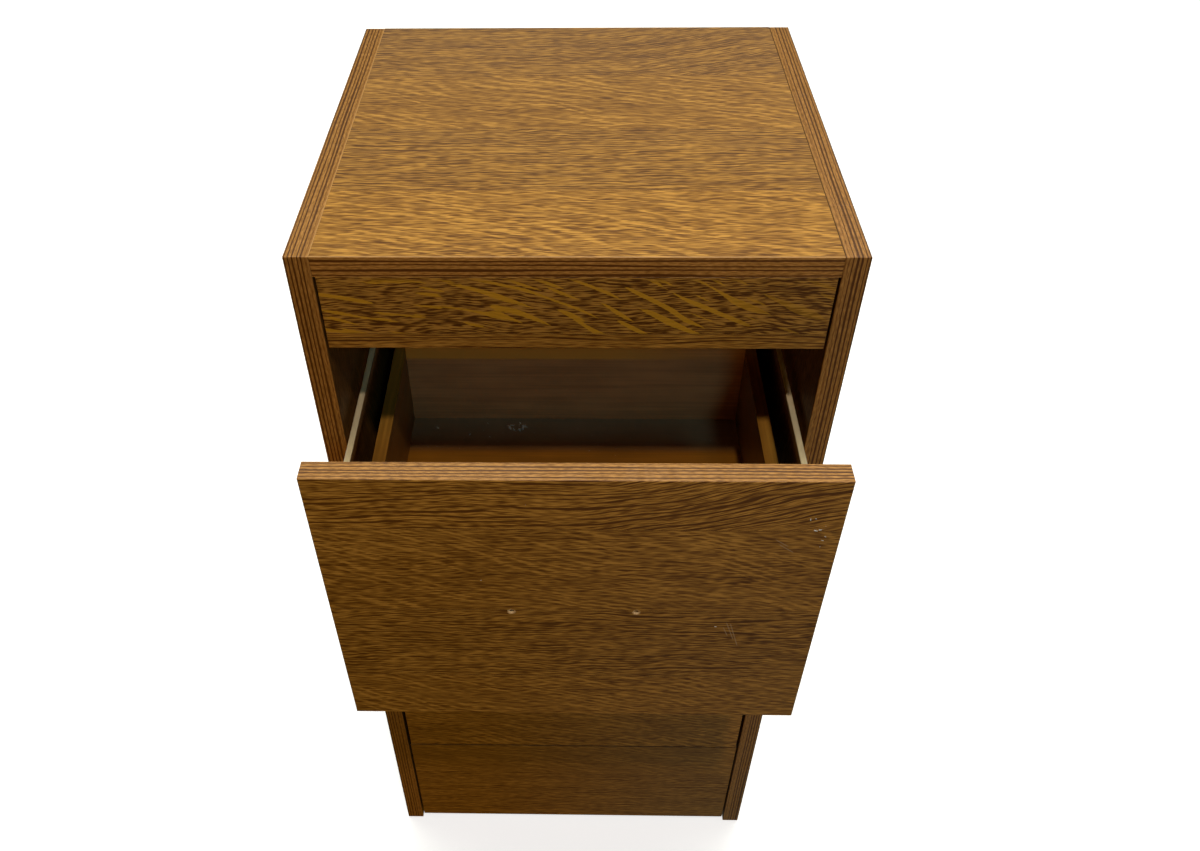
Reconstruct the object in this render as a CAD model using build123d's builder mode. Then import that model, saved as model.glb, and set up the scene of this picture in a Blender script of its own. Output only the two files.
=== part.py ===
from build123d import *
import os

# Two-drawer cabinet in wood-faced board, in millimetres, +Z up and -Y to the front.
# The origin is on the floor, in the middle of the part as it stands: upper drawer pulled open.

# Case
CASE_WIDTH = 420.0
CASE_DEPTH = 405.0
CASE_HEIGHT = 850.0
SIDE_T = 19.0
TOP_T = 17.0
BASE_T = 17.0
FASCIA_T = 17.0
FASCIA_HEIGHT = 66.0
PLINTH_T = 17.0
PLINTH_TOP = 176.0
PLINTH_LIFT = 6.0
PLINTH_SETBACK = 1.5
FIXED_PANEL_GAP = 1.7
BACK_T = 3.0
BACK_INSET = 12.0
BACK_GROOVE = 7.0
SHEET_PLAY = 0.15
EDGE_ROUND = 0.8

# Drawers
REST_OPEN = 137.0
FRONT_T = 17.0
FRONT_SIDE_GAP = 3.0
FRONT_GAP = 3.5
HANDLE_SPACING = 96.0
HANDLE_HOLE_D = 5.0
BOX_LIFT = 52.0
BOX_SIDE_T = 12.0
BOX_SIDE_HEIGHT = 98.0
BOX_BACK_T = 12.0
BOX_BACK_HEIGHT = 170.0
BOX_EDGE_ROUND = 0.6
SHEET_T = 4.0
SHEET_LIFT = 8.0
SHEET_GROOVE = 5.0

# Side rails above the low drawer sides, in a socket bracket at each end
RAIL_WIDTH = 6.0
RAIL_HEIGHT = 9.0
RAIL_ROUND = 1.6
RAIL_DROP = 20.75
RAIL_WALL_GAP = 5.0
RAIL_END_PLAY = 0.3
SOCKET_WALL = 2.0
SOCKET_DEPTH = 8.0
SOCKET_PLAY = 0.1
PLATE_T = 2.5
PLATE_HEIGHT = 30.0
PLATE_ROUND = 2.0
PLATE_TAB = 14.0
PLATE_OVERLAP = 20.0
PLATE_SCREW_PITCH = 18.0

# Roller runners: a channel on the case, a folded rail under each drawer side, a wheel on each
RUNNER_SPACE = 12.7
RUNNER_LENGTH = 300.0
RUNNER_SETBACK = 1.0
OPEN_OVERLAP = 75.0
STEEL_T = 1.2
STEEL_BEND = 0.9
CHANNEL_CLEARANCE = 2.0
CHANNEL_FOOT = 1.0
CHANNEL_INSIDE = 18.8
CHANNEL_LIP = 2.3
RAIL_OVER_CHANNEL = 3.8
RAIL_FOOT = 9.3
RAIL_LIP = 1.8
WHEEL_PLAY = 0.3
WHEEL_END_PLAY = 0.2
WHEEL_BEVEL = 0.7
WHEEL_RIM = 2.2
WHEEL_DISH = 1.2
WHEEL_HUB_D = 8.0
WHEEL_END_LAND = 2.0
PIN_D = 4.0
PIN_PLAY = 0.05
PIN_HEAD_D = 6.4
PIN_HEAD_T = 0.5
PIN_HEAD_CLEARANCE = 1.3
STOP_PLAY = 0.5
STOP_LAND = 3.2

# Fastenings
SCREW_D = 3.6
SCREW_LENGTH = 12.0
FIT_PLAY = 0.1
PAN_HEAD_D = 7.0
PAN_HEAD_T = 2.0
FLAT_HEAD_D = 6.6
LONG_SCREW_D = 4.0
LONG_SCREW_LENGTH = 36.0
LONG_HEAD_D = 7.6
LONG_HEAD_T = 2.0
LONG_SCREW_RISE = 40.0
LONG_SCREW_DROP = 15.0
CAM_D = 15.0
CAM_SKIN = 4.5
CAM_REACH = 34.0
BOX_CAM_D = 12.0
BOX_CAM_SKIN = 2.5
BOX_CAM_REACH = 24.0
BOX_CAM_RISE = 47.0
BOX_CAM_DROP = 18.0
CAM_SLOT = 2.0
CAM_SLOT_LENGTH = 8.0
CAM_BOLT_D = 5.0
CAM_BOLT_DEPTH = 11.0
CAM_NECK_D = 6.0
CAM_HEAD_PAST = 2.5
DOWEL_D = 8.0
DOWEL_LENGTH = 30.0
DOWEL_IN_SIDE = 12.0
FASTENING_EDGE = 60.0
DOWEL_FROM_CAM = 32.0
ANGLE_LEG = 25.0
ANGLE_WIDTH = 18.0
ANGLE_T = 2.0
ANGLE_BEND = 2.5
ANGLE_SCREW = 16.0
ANGLE_FROM_SIDE = 45.0
CHANNEL_SCREW_FRONT = 36.0
CHANNEL_SCREW_REAR = 30.0
RAIL_SCREW_END = 30.0

# Places in the case
half_opening = CASE_WIDTH / 2 - SIDE_T
case_front = -(CASE_DEPTH - REST_OPEN) / 2
case_back = case_front + CASE_DEPTH
top_under = CASE_HEIGHT - TOP_T
base_under = PLINTH_TOP - BASE_T
fascia_bottom = top_under - FASCIA_HEIGHT
fascia_back = case_front + FASCIA_T
plinth_front = case_front + PLINTH_SETBACK
plinth_back = plinth_front + PLINTH_T
back_rear = case_back - BACK_INSET
back_front = back_rear - BACK_T
fixed_half_width = half_opening - FIXED_PANEL_GAP
cam_rows = (case_front + FASTENING_EDGE, back_front - FASTENING_EDGE)
dowel_rows = (cam_rows[0] + DOWEL_FROM_CAM, cam_rows[1] - DOWEL_FROM_CAM)
angle_x = half_opening - ANGLE_FROM_SIDE

# Places in the drawers
front_half_width = half_opening - FRONT_SIDE_GAP
front_height = (fascia_bottom - PLINTH_TOP - 3 * FRONT_GAP) / 2
lower_z = PLINTH_TOP + FRONT_GAP
upper_z = lower_z + front_height + FRONT_GAP
box_outer = half_opening - RUNNER_SPACE
box_inner = box_outer - BOX_SIDE_T
box_side_middle = (box_outer + box_inner) / 2
box_length = RUNNER_LENGTH + 2 * RUNNER_SETBACK
box_cam_rises = (BOX_CAM_RISE, BOX_SIDE_HEIGHT - BOX_CAM_DROP)
long_screw_rises = (LONG_SCREW_RISE, BOX_SIDE_HEIGHT - LONG_SCREW_DROP)
rail_rise = BOX_BACK_HEIGHT - RAIL_DROP
rail_x = half_opening - RAIL_WALL_GAP - RAIL_WIDTH / 2
socket_outer = rail_x + RAIL_WIDTH / 2 + SOCKET_WALL
socket_inner = rail_x - RAIL_WIDTH / 2 - SOCKET_WALL
front_plate_inner = socket_inner - PLATE_TAB
rear_plate_inner = box_inner - PLATE_OVERLAP
front_plate_screw_x = socket_inner - PLATE_TAB / 2
rear_plate_screw_x = box_inner - PLATE_OVERLAP / 2

# Places in the runners, inward from the case side and up from the drawer side's lower edge
channel_reach = RUNNER_SPACE - STEEL_T - CHANNEL_CLEARANCE
channel_top = CHANNEL_INSIDE + 2 * STEEL_T - CHANNEL_FOOT
channel_floor = STEEL_T - CHANNEL_FOOT
channel_middle = channel_floor + CHANNEL_INSIDE / 2
drawer_rail_top = channel_top + RAIL_OVER_CHANNEL
wheel_hub = CHANNEL_CLEARANCE + STEEL_T + WHEEL_PLAY - WHEEL_END_PLAY
pin_length = RUNNER_SPACE - STEEL_T - PIN_HEAD_T - PIN_HEAD_CLEARANCE
wheel_tread = pin_length - STEEL_T - wheel_hub - 2 * WHEEL_END_PLAY
rear_wheel_r = CHANNEL_INSIDE / 2 - WHEEL_PLAY
front_wheel_low = channel_floor + WHEEL_PLAY
front_wheel_high = drawer_rail_top - STEEL_T - WHEEL_PLAY
front_wheel_r = (front_wheel_high - front_wheel_low) / 2
front_wheel_rise = (front_wheel_high + front_wheel_low) / 2
drawer_lip_x = WHEEL_END_PLAY + wheel_hub - WHEEL_PLAY + STEEL_T / 2
runner_front = case_front + FRONT_T + RUNNER_SETBACK
runner_rear = runner_front + RUNNER_LENGTH
front_wheel_y = runner_front + front_wheel_r + WHEEL_END_LAND
rear_wheel_run = RUNNER_LENGTH - rear_wheel_r - STOP_PLAY - STEEL_T - STOP_LAND
rear_wheel_closed_y = runner_front + rear_wheel_run
drawer_travel = RUNNER_LENGTH - OPEN_OVERLAP
channel_notch = 2 * (front_wheel_r + WHEEL_END_LAND)
channel_screw_runs = (CHANNEL_SCREW_FRONT, RUNNER_LENGTH / 2, RUNNER_LENGTH - CHANNEL_SCREW_REAR)
rail_screw_runs = (RAIL_SCREW_END, RUNNER_LENGTH / 2, RUNNER_LENGTH - RAIL_SCREW_END)
rail_screw_x = box_outer - (BOX_SIDE_T - SHEET_GROOVE) / 2

# Holes
screw_hole = SCREW_D / 2 + FIT_PLAY
long_screw_hole = LONG_SCREW_D / 2 + FIT_PLAY
neck_hole = CAM_NECK_D / 2 + FIT_PLAY


def keep(piece, name):
    """Label a finished piece and write it under its name."""
    piece.part.label = name
    export_step(piece.part, f"parts/{name}.step")


def mirrored(piece):
    """The right-hand copy of a left-hand piece."""
    with BuildPart() as other:
        mirror(piece.part, about=Plane.YZ)
    return other


def placed(piece, planes):
    """One node of equal fastenings: a copy on each plane of the left half, and their mirror images."""
    with BuildPart() as group:
        with Locations(*planes):
            add(piece.part)
        mirror(about=Plane.YZ)
    return group


def slab(x_span, y_span, z_span, mode=Mode.ADD):
    """A square-cornered board, or a cut of that shape, between two places along each axis."""
    with BuildSketch(Plane.XY.offset(z_span[0])) as outline:
        with Locations(((x_span[0] + x_span[1]) / 2, (y_span[0] + y_span[1]) / 2)):
            Rectangle(x_span[1] - x_span[0], y_span[1] - y_span[0])
    extrude(outline.sketch, amount=z_span[1] - z_span[0], mode=mode)


def drill(points, outward, radius, depth):
    """Blind round holes: each starts at a point and goes in against the outward direction."""
    with Locations(*[Plane(origin=point, z_dir=outward) for point in points]):
        Hole(radius, depth)


def screw(diameter, length, head_d, head_t, sunk):
    """A screw on Z with its point down: a sunk head's top is at zero, a raised head's seat is."""
    neck = -head_t if sunk else 0
    head_top = 0 if sunk else head_t
    with BuildPart() as piece:
        with BuildSketch(Plane.XZ):
            with BuildLine():
                Polyline((0, -length), (diameter / 2, diameter - length), (diameter / 2, neck),
                         (head_d / 2, 0))
                Polyline((head_d / 2, 0), (diameter / 2 + head_top / 2, head_top), (0, head_top), (0, -length))
            make_face()
        revolve(axis=Axis.Z)
    return piece


def cam(diameter, thickness, bolt_depth):
    """A cam disc: slotted face at zero, and a bore along +X from its middle for the bolt's head."""
    with BuildPart() as piece:
        with BuildSketch(Plane.XY.offset(-thickness)):
            Circle(diameter / 2)
        extrude(amount=thickness)
        with BuildSketch(Plane.XY.offset(-CAM_SLOT)):
            Rectangle(CAM_SLOT_LENGTH, CAM_SLOT)
        extrude(amount=CAM_SLOT, mode=Mode.SUBTRACT)
        with BuildSketch(Plane.YZ.offset(-CAM_HEAD_PAST - FIT_PLAY)):
            with Locations((0, -bolt_depth)):
                Circle(neck_hole)
        extrude(amount=diameter, mode=Mode.SUBTRACT)
    return piece


def cam_bolt(reach):
    """A cam bolt along +X from a board's face at zero: thread in the board, head inside the cam."""
    with BuildPart() as piece:
        with BuildSketch(Plane.XY):
            with BuildLine():
                Polyline((-CAM_BOLT_DEPTH, 0), (-CAM_BOLT_DEPTH, CAM_BOLT_D / 2), (0, CAM_BOLT_D / 2),
                         (0, CAM_NECK_D / 2), (reach, CAM_NECK_D / 2), (reach, 0), close=True)
            make_face()
        revolve(axis=Axis.X)
    return piece


def dowel():
    """A wooden dowel along +X that starts inside the side panel."""
    with BuildPart() as piece:
        with BuildSketch(Plane.YZ.offset(-DOWEL_IN_SIDE)):
            Circle(DOWEL_D / 2)
        extrude(amount=DOWEL_LENGTH)
    return piece


def side_panel():
    """Left side of the case, down to the floor, grooved for the back sheet and bored for its joints."""
    with BuildPart() as panel:
        slab((-CASE_WIDTH / 2, -half_opening), (case_front, case_back), (0, CASE_HEIGHT))
        front_edges = panel.edges().filter_by(Axis.Z).group_by(Axis.Y)[0]
        top_edges = panel.faces().sort_by(Axis.Z)[-1].edges()
        fillet(front_edges + top_edges, EDGE_ROUND)
        slab((-half_opening - BACK_GROOVE, -half_opening),
             (back_front - SHEET_PLAY, back_rear + SHEET_PLAY),
             (PLINTH_TOP - BACK_GROOVE, top_under + BACK_GROOVE), Mode.SUBTRACT)
        for board_middle in (top_under + TOP_T / 2, base_under + BASE_T / 2):
            drill([(-half_opening, y, board_middle) for y in cam_rows], (1, 0, 0),
                  CAM_BOLT_D / 2 + FIT_PLAY, CAM_BOLT_DEPTH + FIT_PLAY)
            drill([(-half_opening, y, board_middle) for y in dowel_rows], (1, 0, 0),
                  DOWEL_D / 2 + FIT_PLAY, DOWEL_IN_SIDE + FIT_PLAY)
        for front_z in (lower_z, upper_z):
            drill([(-half_opening, runner_front + run, front_z + BOX_LIFT + channel_middle)
                   for run in channel_screw_runs], (1, 0, 0), screw_hole, SCREW_LENGTH)
    return panel


def end_joint_bores(under, thickness):
    """Cam pockets, bolt bores and dowel bores at both ends of a board between the side panels."""
    middle = under + thickness / 2
    for side in (-1, 1):
        drill([(side * (half_opening - CAM_REACH), y, under) for y in cam_rows], (0, 0, -1),
              CAM_D / 2 + FIT_PLAY, thickness - CAM_SKIN + FIT_PLAY)
        drill([(side * half_opening, y, middle) for y in cam_rows], (side, 0, 0), neck_hole, CAM_REACH)
        drill([(side * half_opening, y, middle) for y in dowel_rows], (side, 0, 0),
              DOWEL_D / 2 + FIT_PLAY, DOWEL_LENGTH - DOWEL_IN_SIDE + FIT_PLAY)


def top_board():
    """Top between the side panels, grooved underneath for the back sheet."""
    with BuildPart() as piece:
        slab((-half_opening, half_opening), (case_front, case_back), (top_under, CASE_HEIGHT))
        fillet(piece.edges().filter_by(Axis.X).group_by(Axis.Y)[0].sort_by(Axis.Z)[-1], EDGE_ROUND)
        slab((-half_opening, half_opening), (back_front - SHEET_PLAY, back_rear + SHEET_PLAY),
             (top_under, top_under + BACK_GROOVE), Mode.SUBTRACT)
        end_joint_bores(top_under, TOP_T)
        drill([(x, fascia_back + ANGLE_SCREW, top_under) for x in (-angle_x, angle_x)], (0, 0, -1),
              screw_hole, SCREW_LENGTH)
    return piece


def bottom_board():
    """Bottom between the side panels, behind the plinth, grooved on top for the back sheet."""
    with BuildPart() as piece:
        slab((-half_opening, half_opening), (plinth_back, case_back), (base_under, PLINTH_TOP))
        slab((-half_opening, half_opening), (back_front - SHEET_PLAY, back_rear + SHEET_PLAY),
             (PLINTH_TOP - BACK_GROOVE, PLINTH_TOP), Mode.SUBTRACT)
        end_joint_bores(base_under, BASE_T)
        drill([(x, plinth_back + ANGLE_SCREW, base_under) for x in (-angle_x, angle_x)], (0, 0, -1),
              screw_hole, SCREW_LENGTH)
    return piece


def back_panel():
    """Thin back sheet in the grooves of both sides, the top and the bottom."""
    reach = BACK_GROOVE - SHEET_PLAY
    with BuildPart() as piece:
        slab((-half_opening - reach, half_opening + reach), (back_front, back_rear),
             (PLINTH_TOP - reach, top_under + reach))
    return piece


def fixed_front_panel(front, thickness, z_low, z_high, angle_top):
    """Fascia or plinth: a fixed front board with rounded edges and its angle brackets' screw holes."""
    with BuildPart() as piece:
        slab((-fixed_half_width, fixed_half_width), (front, front + thickness), (z_low, z_high))
        fillet(piece.faces().sort_by(Axis.Y)[0].edges(), EDGE_ROUND)
        drill([(x, front + thickness, angle_top - ANGLE_SCREW) for x in (-angle_x, angle_x)], (0, 1, 0),
              screw_hole, SCREW_LENGTH)
    return piece


def angle_bracket():
    """A bent steel angle in the corner of the origin: one leg runs back, the other hangs down."""
    with BuildPart() as piece:
        with BuildSketch(Plane.YZ.offset(-ANGLE_WIDTH / 2)):
            with BuildLine():
                FilletPolyline((ANGLE_LEG, -ANGLE_T / 2), (ANGLE_T / 2, -ANGLE_T / 2),
                               (ANGLE_T / 2, -ANGLE_LEG), radius=ANGLE_BEND)
            trace(line_width=ANGLE_T)
        extrude(amount=ANGLE_WIDTH)
        drill([(0, ANGLE_SCREW, 0)], (0, 0, 1), screw_hole, ANGLE_T)
        drill([(0, 0, -ANGLE_SCREW)], (0, -1, 0), screw_hole, ANGLE_T)
    return piece


def runner_section(y_end, side_low):
    """Section plane of a left runner: x inward from the case side, y up from the drawer side's edge."""
    return Plane(origin=(-half_opening, y_end, side_low), x_dir=(1, 0, 0), z_dir=(0, -1, 0))


def wheel_pin(x_root, inward, y, z):
    """A wheel's pin and its head, along X from the steel that it is riveted to."""
    root = Plane(origin=(x_root, y, z), z_dir=(inward, 0, 0))
    with BuildSketch(root) as shank:
        Circle(PIN_D / 2)
    extrude(shank.sketch, amount=pin_length)
    with BuildSketch(root.offset(pin_length)) as head:
        Circle(PIN_HEAD_D / 2)
    extrude(head.sketch, amount=PIN_HEAD_T)


def channel(side_low):
    """Left case channel: folded steel that the rear wheel runs in, with the front wheel's pin."""
    fold = STEEL_T / 2
    low = channel_floor - fold
    high = channel_top - fold
    lip = channel_reach - fold
    open_stop = rear_wheel_closed_y - drawer_travel - rear_wheel_r - STOP_PLAY - STEEL_T
    closed_stop = rear_wheel_closed_y + rear_wheel_r + STOP_PLAY
    with BuildPart() as piece:
        with BuildSketch(runner_section(runner_rear, side_low)):
            with BuildLine():
                FilletPolyline((lip, low + CHANNEL_LIP), (lip, low), (fold, low), (fold, high),
                               (lip, high), radius=STEEL_BEND)
            trace(line_width=STEEL_T)
        extrude(amount=RUNNER_LENGTH)
        slab((-half_opening + STEEL_T, -half_opening + 2 * channel_reach),
             (runner_front, runner_front + channel_notch),
             (side_low - CHANNEL_FOOT - STEEL_T, side_low + channel_top + STEEL_T), Mode.SUBTRACT)
        for stop in (open_stop, closed_stop):
            slab((-half_opening, -half_opening + channel_reach - 2 * STEEL_T), (stop, stop + STEEL_T),
                 (side_low + low, side_low + high))
        wheel_pin(-half_opening, 1, front_wheel_y, side_low + front_wheel_rise)
        with Locations(*channel_screw_planes(side_low)):
            CounterSinkHole(screw_hole, FLAT_HEAD_D / 2 + FIT_PLAY, STEEL_T)
    return piece


def channel_screw_planes(side_low):
    """Where the heads of a left channel's screws lie flush in its steel."""
    return [Plane(origin=(-half_opening + STEEL_T, runner_front + run, side_low + channel_middle),
                  z_dir=(1, 0, 0)) for run in channel_screw_runs]


def wheel(radius):
    """A moulded runner wheel on Z: its hub starts at zero and its dished tread is at the far end."""
    hub = WHEEL_HUB_D / 2
    bore = PIN_D / 2 + PIN_PLAY
    end = wheel_hub + wheel_tread
    with BuildPart() as piece:
        with BuildSketch(Plane.XZ):
            with BuildLine():
                Polyline((bore, 0), (hub, 0), (hub, wheel_hub), (radius - WHEEL_BEVEL, wheel_hub),
                         (radius, wheel_hub + WHEEL_BEVEL), (radius, end - WHEEL_BEVEL),
                         (radius - WHEEL_BEVEL, end), (radius - WHEEL_RIM, end),
                         (radius - WHEEL_RIM, end - WHEEL_DISH), (hub, end - WHEEL_DISH), (hub, end),
                         (bore, end), close=True)
            make_face()
        revolve(axis=Axis.Z)
    return piece


def front_wheel(side_low):
    """Left front wheel on the channel's pin, under the drawer rail's upper flange."""
    start = -half_opening + STEEL_T + WHEEL_END_PLAY
    with BuildPart() as piece:
        with Locations(Plane(origin=(start, front_wheel_y, side_low + front_wheel_rise), z_dir=(1, 0, 0))):
            add(wheel(front_wheel_r).part)
    return piece


def rear_wheel(box_front, side_low):
    """Left rear wheel on the drawer rail's pin, between the channel's flanges."""
    start = -box_outer - STEEL_T - WHEEL_END_PLAY
    y = box_front + RUNNER_SETBACK + rear_wheel_run
    with BuildPart() as piece:
        with Locations(Plane(origin=(start, y, side_low + channel_middle), z_dir=(-1, 0, 0))):
            add(wheel(rear_wheel_r).part)
    return piece


def drawer_rail(box_front, side_low):
    """Left drawer rail: a foot under the drawer side, a web beside it and a hooked upper flange."""
    fold = STEEL_T / 2
    front = box_front + RUNNER_SETBACK
    web = RUNNER_SPACE - fold
    high = drawer_rail_top - fold
    with BuildPart() as piece:
        with BuildSketch(runner_section(front + RUNNER_LENGTH, side_low)):
            with BuildLine():
                FilletPolyline((RUNNER_SPACE + RAIL_FOOT, -fold), (web, -fold), (web, high),
                               (drawer_lip_x, high), (drawer_lip_x, high - RAIL_LIP), radius=STEEL_BEND)
            trace(line_width=STEEL_T)
        extrude(amount=RUNNER_LENGTH)
        wheel_pin(-box_outer, -1, front + rear_wheel_run, side_low + channel_middle)
        drill([(-rail_screw_x, front + run, side_low) for run in rail_screw_runs], (0, 0, 1),
              screw_hole, STEEL_T)
    return piece


def drawer_front(face, z_low):
    """Drawer front with two handle screw holes, grooved and bored at the back for the box."""
    back = face + FRONT_T
    side_low = z_low + BOX_LIFT
    rail_z = side_low + rail_rise
    with BuildPart() as piece:
        slab((-front_half_width, front_half_width), (face, back), (z_low, z_low + front_height))
        fillet(piece.faces().sort_by(Axis.Y)[0].edges(), EDGE_ROUND)
        sheet_groove((-box_inner - SHEET_GROOVE, box_inner + SHEET_GROOVE),
                     (back - SHEET_GROOVE, back), side_low)
        with Locations(Plane(origin=(0, face, z_low + front_height / 2),
                             x_dir=(1, 0, 0), z_dir=(0, -1, 0))):
            with GridLocations(HANDLE_SPACING, 0, 2, 1):
                Hole(HANDLE_HOLE_D / 2, FRONT_T)
        for side in (-1, 1):
            drill([(side * box_side_middle, back, side_low + rise) for rise in box_cam_rises], (0, 1, 0),
                  CAM_BOLT_D / 2 + FIT_PLAY, CAM_BOLT_DEPTH + FIT_PLAY)
            drill([(side * front_plate_screw_x, back, rail_z + step) for step in plate_screw_steps], (0, 1, 0),
                  screw_hole, SCREW_LENGTH - PLATE_T + FIT_PLAY)
    return piece


def sheet_groove(x_span, y_span, side_low):
    """A groove for the drawer's bottom sheet, with play above and below."""
    sheet_low = side_low + SHEET_LIFT
    slab(x_span, y_span, (sheet_low - SHEET_PLAY, sheet_low + SHEET_T + SHEET_PLAY), Mode.SUBTRACT)


def drawer_side(box_front, side_low):
    """Low left drawer side: cam pockets and sunk screws outside, the sheet's groove inside."""
    rear = box_front + box_length
    with BuildPart() as piece:
        slab((-box_outer, -box_inner), (box_front, rear), (side_low, side_low + BOX_SIDE_HEIGHT))
        long_edges = piece.edges().filter_by(Axis.Y).group_by(Axis.Z)
        fillet(long_edges[-1], BOX_EDGE_ROUND)
        fillet(long_edges[0].sort_by(Axis.X)[0], STEEL_BEND)
        sheet_groove((-box_inner - SHEET_GROOVE, -box_inner), (box_front, rear), side_low)
        drill([(-box_outer, box_front + BOX_CAM_REACH, side_low + rise) for rise in box_cam_rises], (-1, 0, 0),
              BOX_CAM_D / 2 + FIT_PLAY, BOX_SIDE_T - BOX_CAM_SKIN + FIT_PLAY)
        drill([(-box_side_middle, box_front, side_low + rise) for rise in box_cam_rises], (0, -1, 0),
              neck_hole, BOX_CAM_REACH)
        drill([(-rail_screw_x, box_front + RUNNER_SETBACK + run, side_low) for run in rail_screw_runs],
              (0, 0, -1), screw_hole, SCREW_LENGTH)
        with Locations(*back_screw_planes(rear, side_low)):
            CounterSinkHole(long_screw_hole, LONG_HEAD_D / 2 + FIT_PLAY, BOX_SIDE_T)
    return piece


def back_screw_planes(rear, side_low):
    """Where the long screws through a left drawer side into the drawer's back have their heads."""
    return [Plane(origin=(-box_outer, rear - BOX_BACK_T / 2, side_low + rise), z_dir=(-1, 0, 0))
            for rise in long_screw_rises]


def drawer_back(rear, side_low):
    """Tall drawer back between the low sides, which carries the side rails' rear brackets."""
    rail_z = side_low + rail_rise
    with BuildPart() as piece:
        slab((-box_inner, box_inner), (rear - BOX_BACK_T, rear), (side_low, side_low + BOX_BACK_HEIGHT))
        fillet(piece.edges().filter_by(Axis.X).group_by(Axis.Z)[-1], BOX_EDGE_ROUND)
        sheet_groove((-box_inner, box_inner), (rear - BOX_BACK_T, rear - BOX_BACK_T + SHEET_GROOVE),
                     side_low)
        for side in (-1, 1):
            drill([(side * box_inner, rear - BOX_BACK_T / 2, side_low + rise) for rise in long_screw_rises],
                  (side, 0, 0), long_screw_hole, LONG_SCREW_LENGTH - BOX_SIDE_T + FIT_PLAY)
            drill([(side * rear_plate_screw_x, rear, rail_z + step) for step in plate_screw_steps], (0, 1, 0),
                  screw_hole, SCREW_LENGTH - PLATE_T + FIT_PLAY)
    return piece


def drawer_bottom(box_front, rear, side_low):
    """Thin drawer bottom in the grooves of the front, the sides and the back."""
    reach = SHEET_GROOVE - SHEET_PLAY
    sheet_low = side_low + SHEET_LIFT
    with BuildPart() as piece:
        slab((-box_inner - reach, box_inner + reach), (box_front - reach, rear - BOX_BACK_T + reach),
             (sheet_low, sheet_low + SHEET_T))
    return piece


def side_rail(box_front, rear, rail_z):
    """Left side rail, from the pocket of the front bracket to the pocket of the rear one."""
    start = box_front + PLATE_T + RAIL_END_PLAY
    with BuildPart() as piece:
        with BuildSketch(Plane(origin=(-rail_x, start, rail_z), x_dir=(-1, 0, 0), z_dir=(0, 1, 0))):
            RectangleRounded(RAIL_WIDTH, RAIL_HEIGHT, RAIL_ROUND)
        extrude(amount=rear - RAIL_END_PLAY - start)
    return piece


def rail_bracket(plate_rear, plate_inner, screw_x, rail_z, ahead):
    """Left rail bracket: a screwed plate with a socket, behind the plate or ahead of it."""
    plate_front = plate_rear - PLATE_T
    socket_start = plate_front - SOCKET_DEPTH if ahead else plate_rear
    section = Plane(origin=(-rail_x, socket_start, rail_z), x_dir=(-1, 0, 0), z_dir=(0, 1, 0))
    with BuildPart() as piece:
        slab((-socket_outer, -plate_inner), (plate_front, plate_rear),
             (rail_z - PLATE_HEIGHT / 2, rail_z + PLATE_HEIGHT / 2))
        fillet(piece.edges().filter_by(Axis.Y), PLATE_ROUND)
        with BuildSketch(section):
            Rectangle(RAIL_WIDTH + 2 * SOCKET_WALL, RAIL_HEIGHT + 2 * SOCKET_WALL)
            RectangleRounded(RAIL_WIDTH + 2 * SOCKET_PLAY, RAIL_HEIGHT + 2 * SOCKET_PLAY, RAIL_ROUND,
                             mode=Mode.SUBTRACT)
        extrude(amount=SOCKET_DEPTH)
        drill([(-screw_x, plate_rear, rail_z + step) for step in plate_screw_steps], (0, 1, 0),
              screw_hole, PLATE_T)
    return piece


plate_screw_steps = (-PLATE_SCREW_PITCH / 2, PLATE_SCREW_PITCH / 2)


def make_drawer(name, z_low, opened):
    """All pieces of one drawer, with the box set back from its front's face."""
    face = case_front - opened
    box_front = face + FRONT_T
    rear = box_front + box_length
    side_low = z_low + BOX_LIFT
    rail_z = side_low + rail_rise
    pieces = {"front": drawer_front(face, z_low), "back": drawer_back(rear, side_low),
              "bottom": drawer_bottom(box_front, rear, side_low)}
    handed = {"side": drawer_side(box_front, side_low), "rail": side_rail(box_front, rear, rail_z),
              "runner": drawer_rail(box_front, side_low), "rear_roller": rear_wheel(box_front, side_low)}
    for part_name, piece in pieces.items():
        keep(piece, f"{name}_{part_name}")
    for part_name, piece in handed.items():
        keep(piece, f"{name}_{part_name}_left")
        keep(mirrored(piece), f"{name}_{part_name}_right")

    upright = [Plane.XY]
    front_bracket = rail_bracket(box_front + PLATE_T, front_plate_inner, front_plate_screw_x, rail_z, False)
    rear_bracket = rail_bracket(rear + PLATE_T, rear_plate_inner, rear_plate_screw_x, rail_z, True)
    keep(placed(front_bracket, upright), f"{name}_rail_front_brackets")
    keep(placed(rear_bracket, upright), f"{name}_rail_rear_brackets")
    plate_screws = [(-front_plate_screw_x, box_front + PLATE_T), (-rear_plate_screw_x, rear + PLATE_T)]
    keep(placed(pan_screw, [Plane(origin=(x, y, rail_z + step), z_dir=(0, 1, 0))
                            for x, y in plate_screws for step in plate_screw_steps]),
         f"{name}_rail_bracket_screws")
    keep(placed(box_cam, [Plane(origin=(-box_outer, box_front + BOX_CAM_REACH, side_low + rise),
                                x_dir=(0, -1, 0), z_dir=(-1, 0, 0)) for rise in box_cam_rises]),
         f"{name}_side_cams")
    keep(placed(cam_bolt(BOX_CAM_REACH + CAM_HEAD_PAST),
                [Plane(origin=(-box_side_middle, box_front, side_low + rise), x_dir=(0, 1, 0), z_dir=(0, 0, 1))
                 for rise in box_cam_rises]), f"{name}_side_cam_bolts")
    keep(placed(long_screw, back_screw_planes(rear, side_low)), f"{name}_back_screws")
    keep(placed(pan_screw, [Plane(origin=(-rail_screw_x, box_front + RUNNER_SETBACK + run, side_low - STEEL_T),
                                  z_dir=(0, 0, -1)) for run in rail_screw_runs]), f"{name}_runner_screws")


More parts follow.
